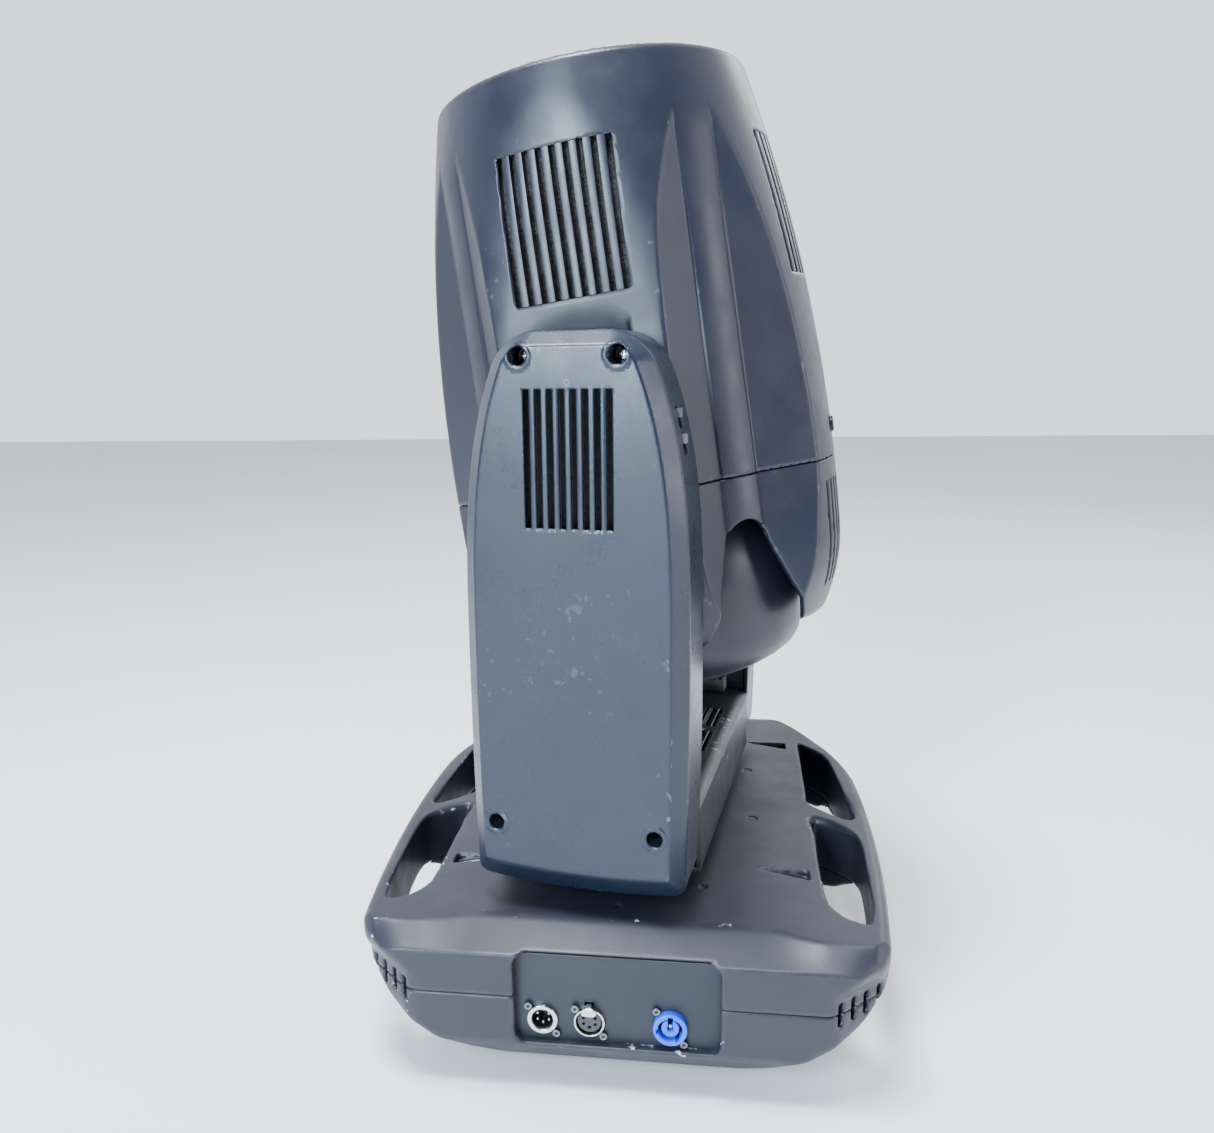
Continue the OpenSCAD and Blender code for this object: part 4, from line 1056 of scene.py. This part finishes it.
DATA_IN = ("data_in_connector", "base")
DATA_THRU = ("data_thru_connector", "base")
INLET = ("power_inlet", "base")
at_socket("data_in_ring", data_in_ring, DATA_IN_X, 12, 0.45, *DATA_IN, "chromed", "chromed")
at_socket("data_in_core", data_in_core, DATA_IN_X, 10, 0.45, *DATA_IN, "dark_plastic", "socket")
at_socket("data_in_pins", data_in_pins, DATA_IN_X, 7, 0.4, *DATA_IN, "chromed", "lock_metal")
at_socket("data_thru_ring", data_thru_ring, DATA_THRU_X, 12, 0.45, *DATA_THRU, "chromed", "chromed")
at_socket("data_thru_core", data_thru_core, DATA_THRU_X, 11, 0.45, *DATA_THRU, "dark_plastic", "insert")
at_socket("data_thru_tab", latch_tab, DATA_THRU_X, 14, 0.4, "data_thru_latch", "data_thru_latch", "chromed",
          "chromed")
at_socket("inlet_ring", inlet_ring, POWER_X, 13, 0.45, *INLET, "inlet_blue", "inlet_blue")
# The inlet's inner well gets the darker copy of the blue plastic as painted shade inside the inlet.
at_socket("inlet_well", inlet_well, POWER_X, 13, 0.5, *INLET, "inlet_blue", "inlet_blue_painted_shade")
at_socket("inlet_contacts", inlet_contacts, POWER_X, 10, 0.4, *INLET, "chromed", "lock_metal")

# Each socket has two flange screws, at its upper left and its lower right: its x and their offsets.
spots = [(DATA_IN_X, 9.9, 9.9), (DATA_THRU_X, 9.9, 9.9), (POWER_X, 9.5, 12)]
places = [(x + k * dx, PANEL_Y, SOCKET_Z - k * dz) for x, dx, dz in spots for k in (-1, 1)]
add_piece("socket_rivets", repeated(surface(rivet, [-3.4, -4, -3.4], [3.4, 0, 3.4], 0.35), places),
          BASE, [], "base", "steel", looks["rivet"])


# ---- Screws ----------------------------------------------

def cross_screw(p):
    """A pan-head screw that faces -Y, with its cross recess."""
    r = np.hypot(p[:, 0], p[:, 2])
    head = both(both(r - 4.0, np.linalg.norm(p - [0, 4.6, 0], axis=1) - 7.4), p[:, 1], 0.2)
    upright = round_rect(p[:, 0], p[:, 2], 0.62, 2.4, 0.2)
    level = round_rect(p[:, 0], p[:, 2], 2.4, 0.62, 0.2)
    arms = np.minimum(upright, level)
    head = cut(head, both(arms, p[:, 1] + 1.1), 0.15)
    return np.minimum(head, both(r - 2, slab(p[:, 1], -0.5, 17)))


ARM_SCREW_Y = 181.2
add_piece("arm_screws",
          repeated(surface(cross_screw, [-5, -4, -5], [5, 18, 5], 0.42),
                   [(k * x, -side * ARM_SCREW_Y, z, side) for x, z, _ in arm_screws for k in (-1, 1)
                    for side in (1, -1)]),
          YOKE, ["arm_cover_screws"], "yoke", "steel", looks["screw"])


# ---- Tail ------------------------------------------------

TAIL_TURNS = 160
# Radius and height round the wall's section: down the outside, in under the tail, and up the inside.
tail_section = [(119, -62), (118.4, -120), (116, -160), (113.6, -171), (109, -178.5), (100, -185), (90, -190),
                (80, -190), (80, -187), (89, -187), (106, -176.5), (113, -160), (115.4, -120), (116, -62)]


def tail_shell():
    mesh = bmesh.new()
    loop = [mesh.verts.new((r, 0, height)) for r, height in tail_section]
    edges = [mesh.edges.new(pair) for pair in zip(loop, loop[1:] + loop[:1])]
    bmesh.ops.spin(mesh, geom=loop + edges, cent=(0, 0, 0), axis=(0, 0, 1), angle=2 * math.pi,
                   steps=TAIL_TURNS, use_merge=True, use_duplicate=False)
    bmesh.ops.remove_doubles(mesh, verts=mesh.verts, dist=1e-4)
    bmesh.ops.recalc_face_normals(mesh, faces=mesh.faces)
    for face in mesh.faces:
        face.smooth = True
    mesh.transform(Matrix(HEAD.tolist()) @ Matrix.Diagonal((MM, MM, MM, 1)))
    data = bpy.data.meshes.new("tail_shell")
    mesh.to_mesh(data)
    mesh.free()
    data.materials.append(looks["shell_head"])
    obj = link(bpy.data.objects.new("tail_shell", data))
    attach(obj, "head")
    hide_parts("tail_housing")


tail_shell()


# ---- Floor, light and camera -----------------------------

FLOOR_HALF = 6.0     # metres


def stage_floor():
    corners = [(x * FLOOR_HALF, y * FLOOR_HALF, 0) for x, y in ((-1, -1), (1, -1), (1, 1), (-1, 1))]
    mesh = bpy.data.meshes.new("floor")
    mesh.from_pydata(corners, [], [(0, 1, 2, 3)])
    obj = link(bpy.data.objects.new("floor", mesh))
    paint = Paint("pale_floor")
    cloud = paint.ramp(paint.noise(1.5, 3.0), 0.3, 0.7)
    tone = paint.mix(cloud, (0.90, 0.90, 0.905), (0.93, 0.93, 0.93))
    paint.set(Base_Color=tone, Roughness=0.7)
    mesh.materials.append(paint.material)
    obj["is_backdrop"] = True


def soft_light(name, where, size, power, colour=(1, 1, 1), aim=(0, 0, 0.38)):
    data = bpy.data.lights.new(name, "AREA")
    data.shape = "RECTANGLE"
    data.size, data.size_y = size
    data.energy = power
    data.color = colour
    obj = link(bpy.data.objects.new(name, data))
    obj.location = where
    obj.rotation_euler = (Vector(aim) - Vector(where)).to_track_quat("-Z", "Y").to_euler()


def studio_sky():
    """A pale sky that is brighter behind the object than on the photographer's side."""
    world = bpy.data.worlds.new("studio")
    bpy.context.scene.world = world
    world.use_nodes = True
    nodes, links = world.node_tree.nodes, world.node_tree.links
    sky = nodes["Background"]
    sky.inputs["Color"].default_value = (0.86, 0.91, 1.0, 1)
    coords = nodes.new("ShaderNodeTexCoord")
    parts = nodes.new("ShaderNodeSeparateXYZ")
    fade = nodes.new("ShaderNodeMapRange")
    fade.interpolation_type = "SMOOTHSTEP"
    for key, value in (("From Min", -0.4), ("From Max", 0.5), ("To Min", 0.33), ("To Max", 1.75)):
        fade.inputs[key].default_value = value
    links.new(coords.outputs["Generated"], parts.inputs["Vector"])
    links.new(parts.outputs["Y"], fade.inputs["Value"])
    links.new(fade.outputs["Result"], sky.inputs["Strength"])


stage_floor()
studio_sky()
soft_light("key", (-0.98, -2.3, 1.25), (0.4, 1.6), 130, (0.70, 0.86, 1.0), (0, 0, 0.6))
soft_light("side", (2.1, -0.55, 0.85), (0.4, 1.4), 17, (0.95, 0.93, 1.0), (0, 0, 0.5))
soft_light("over", (-0.35, -0.45, 2.5), (1.0, 0.5), 112, (0.86, 0.92, 1.0), (0, 0, 0.2))
soft_light("back", (1.3, 1.9, 1.7), (0.7, 1.0), 14)

CAMERA_AT = Vector((0.0624, -0.8768, 0.5061))
CAMERA_YAW, CAMERA_PITCH, CAMERA_ROLL = 0.136, 0.185, 0.016
LENS, SENSOR, SHIFT_X, SHIFT_Y = 30.52, 36, 0.0278, -0.0099


def photo_camera():
    """The photograph's viewpoint: close, a little above the arms and a little to the right."""
    ahead = Vector((-math.sin(CAMERA_YAW) * math.cos(CAMERA_PITCH),
                    math.cos(CAMERA_YAW) * math.cos(CAMERA_PITCH), -math.sin(CAMERA_PITCH)))
    right = Vector((math.cos(CAMERA_YAW), math.sin(CAMERA_YAW), 0))
    down = ahead.cross(right)
    across = right * math.cos(CAMERA_ROLL) + down * math.sin(CAMERA_ROLL)
    below = down * math.cos(CAMERA_ROLL) - right * math.sin(CAMERA_ROLL)
    data = bpy.data.cameras.new("camera")
    data.lens, data.sensor_width = LENS, SENSOR
    data.shift_x, data.shift_y = SHIFT_X, SHIFT_Y
    data.clip_start, data.clip_end = 0.02, 50
    obj = link(bpy.data.objects.new("camera", data))
    turn = Matrix((across, -below, -ahead)).transposed().to_4x4()
    obj.matrix_world = Matrix.Translation(CAMERA_AT) @ turn
    bpy.context.scene.camera = obj


photo_camera()

low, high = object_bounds()
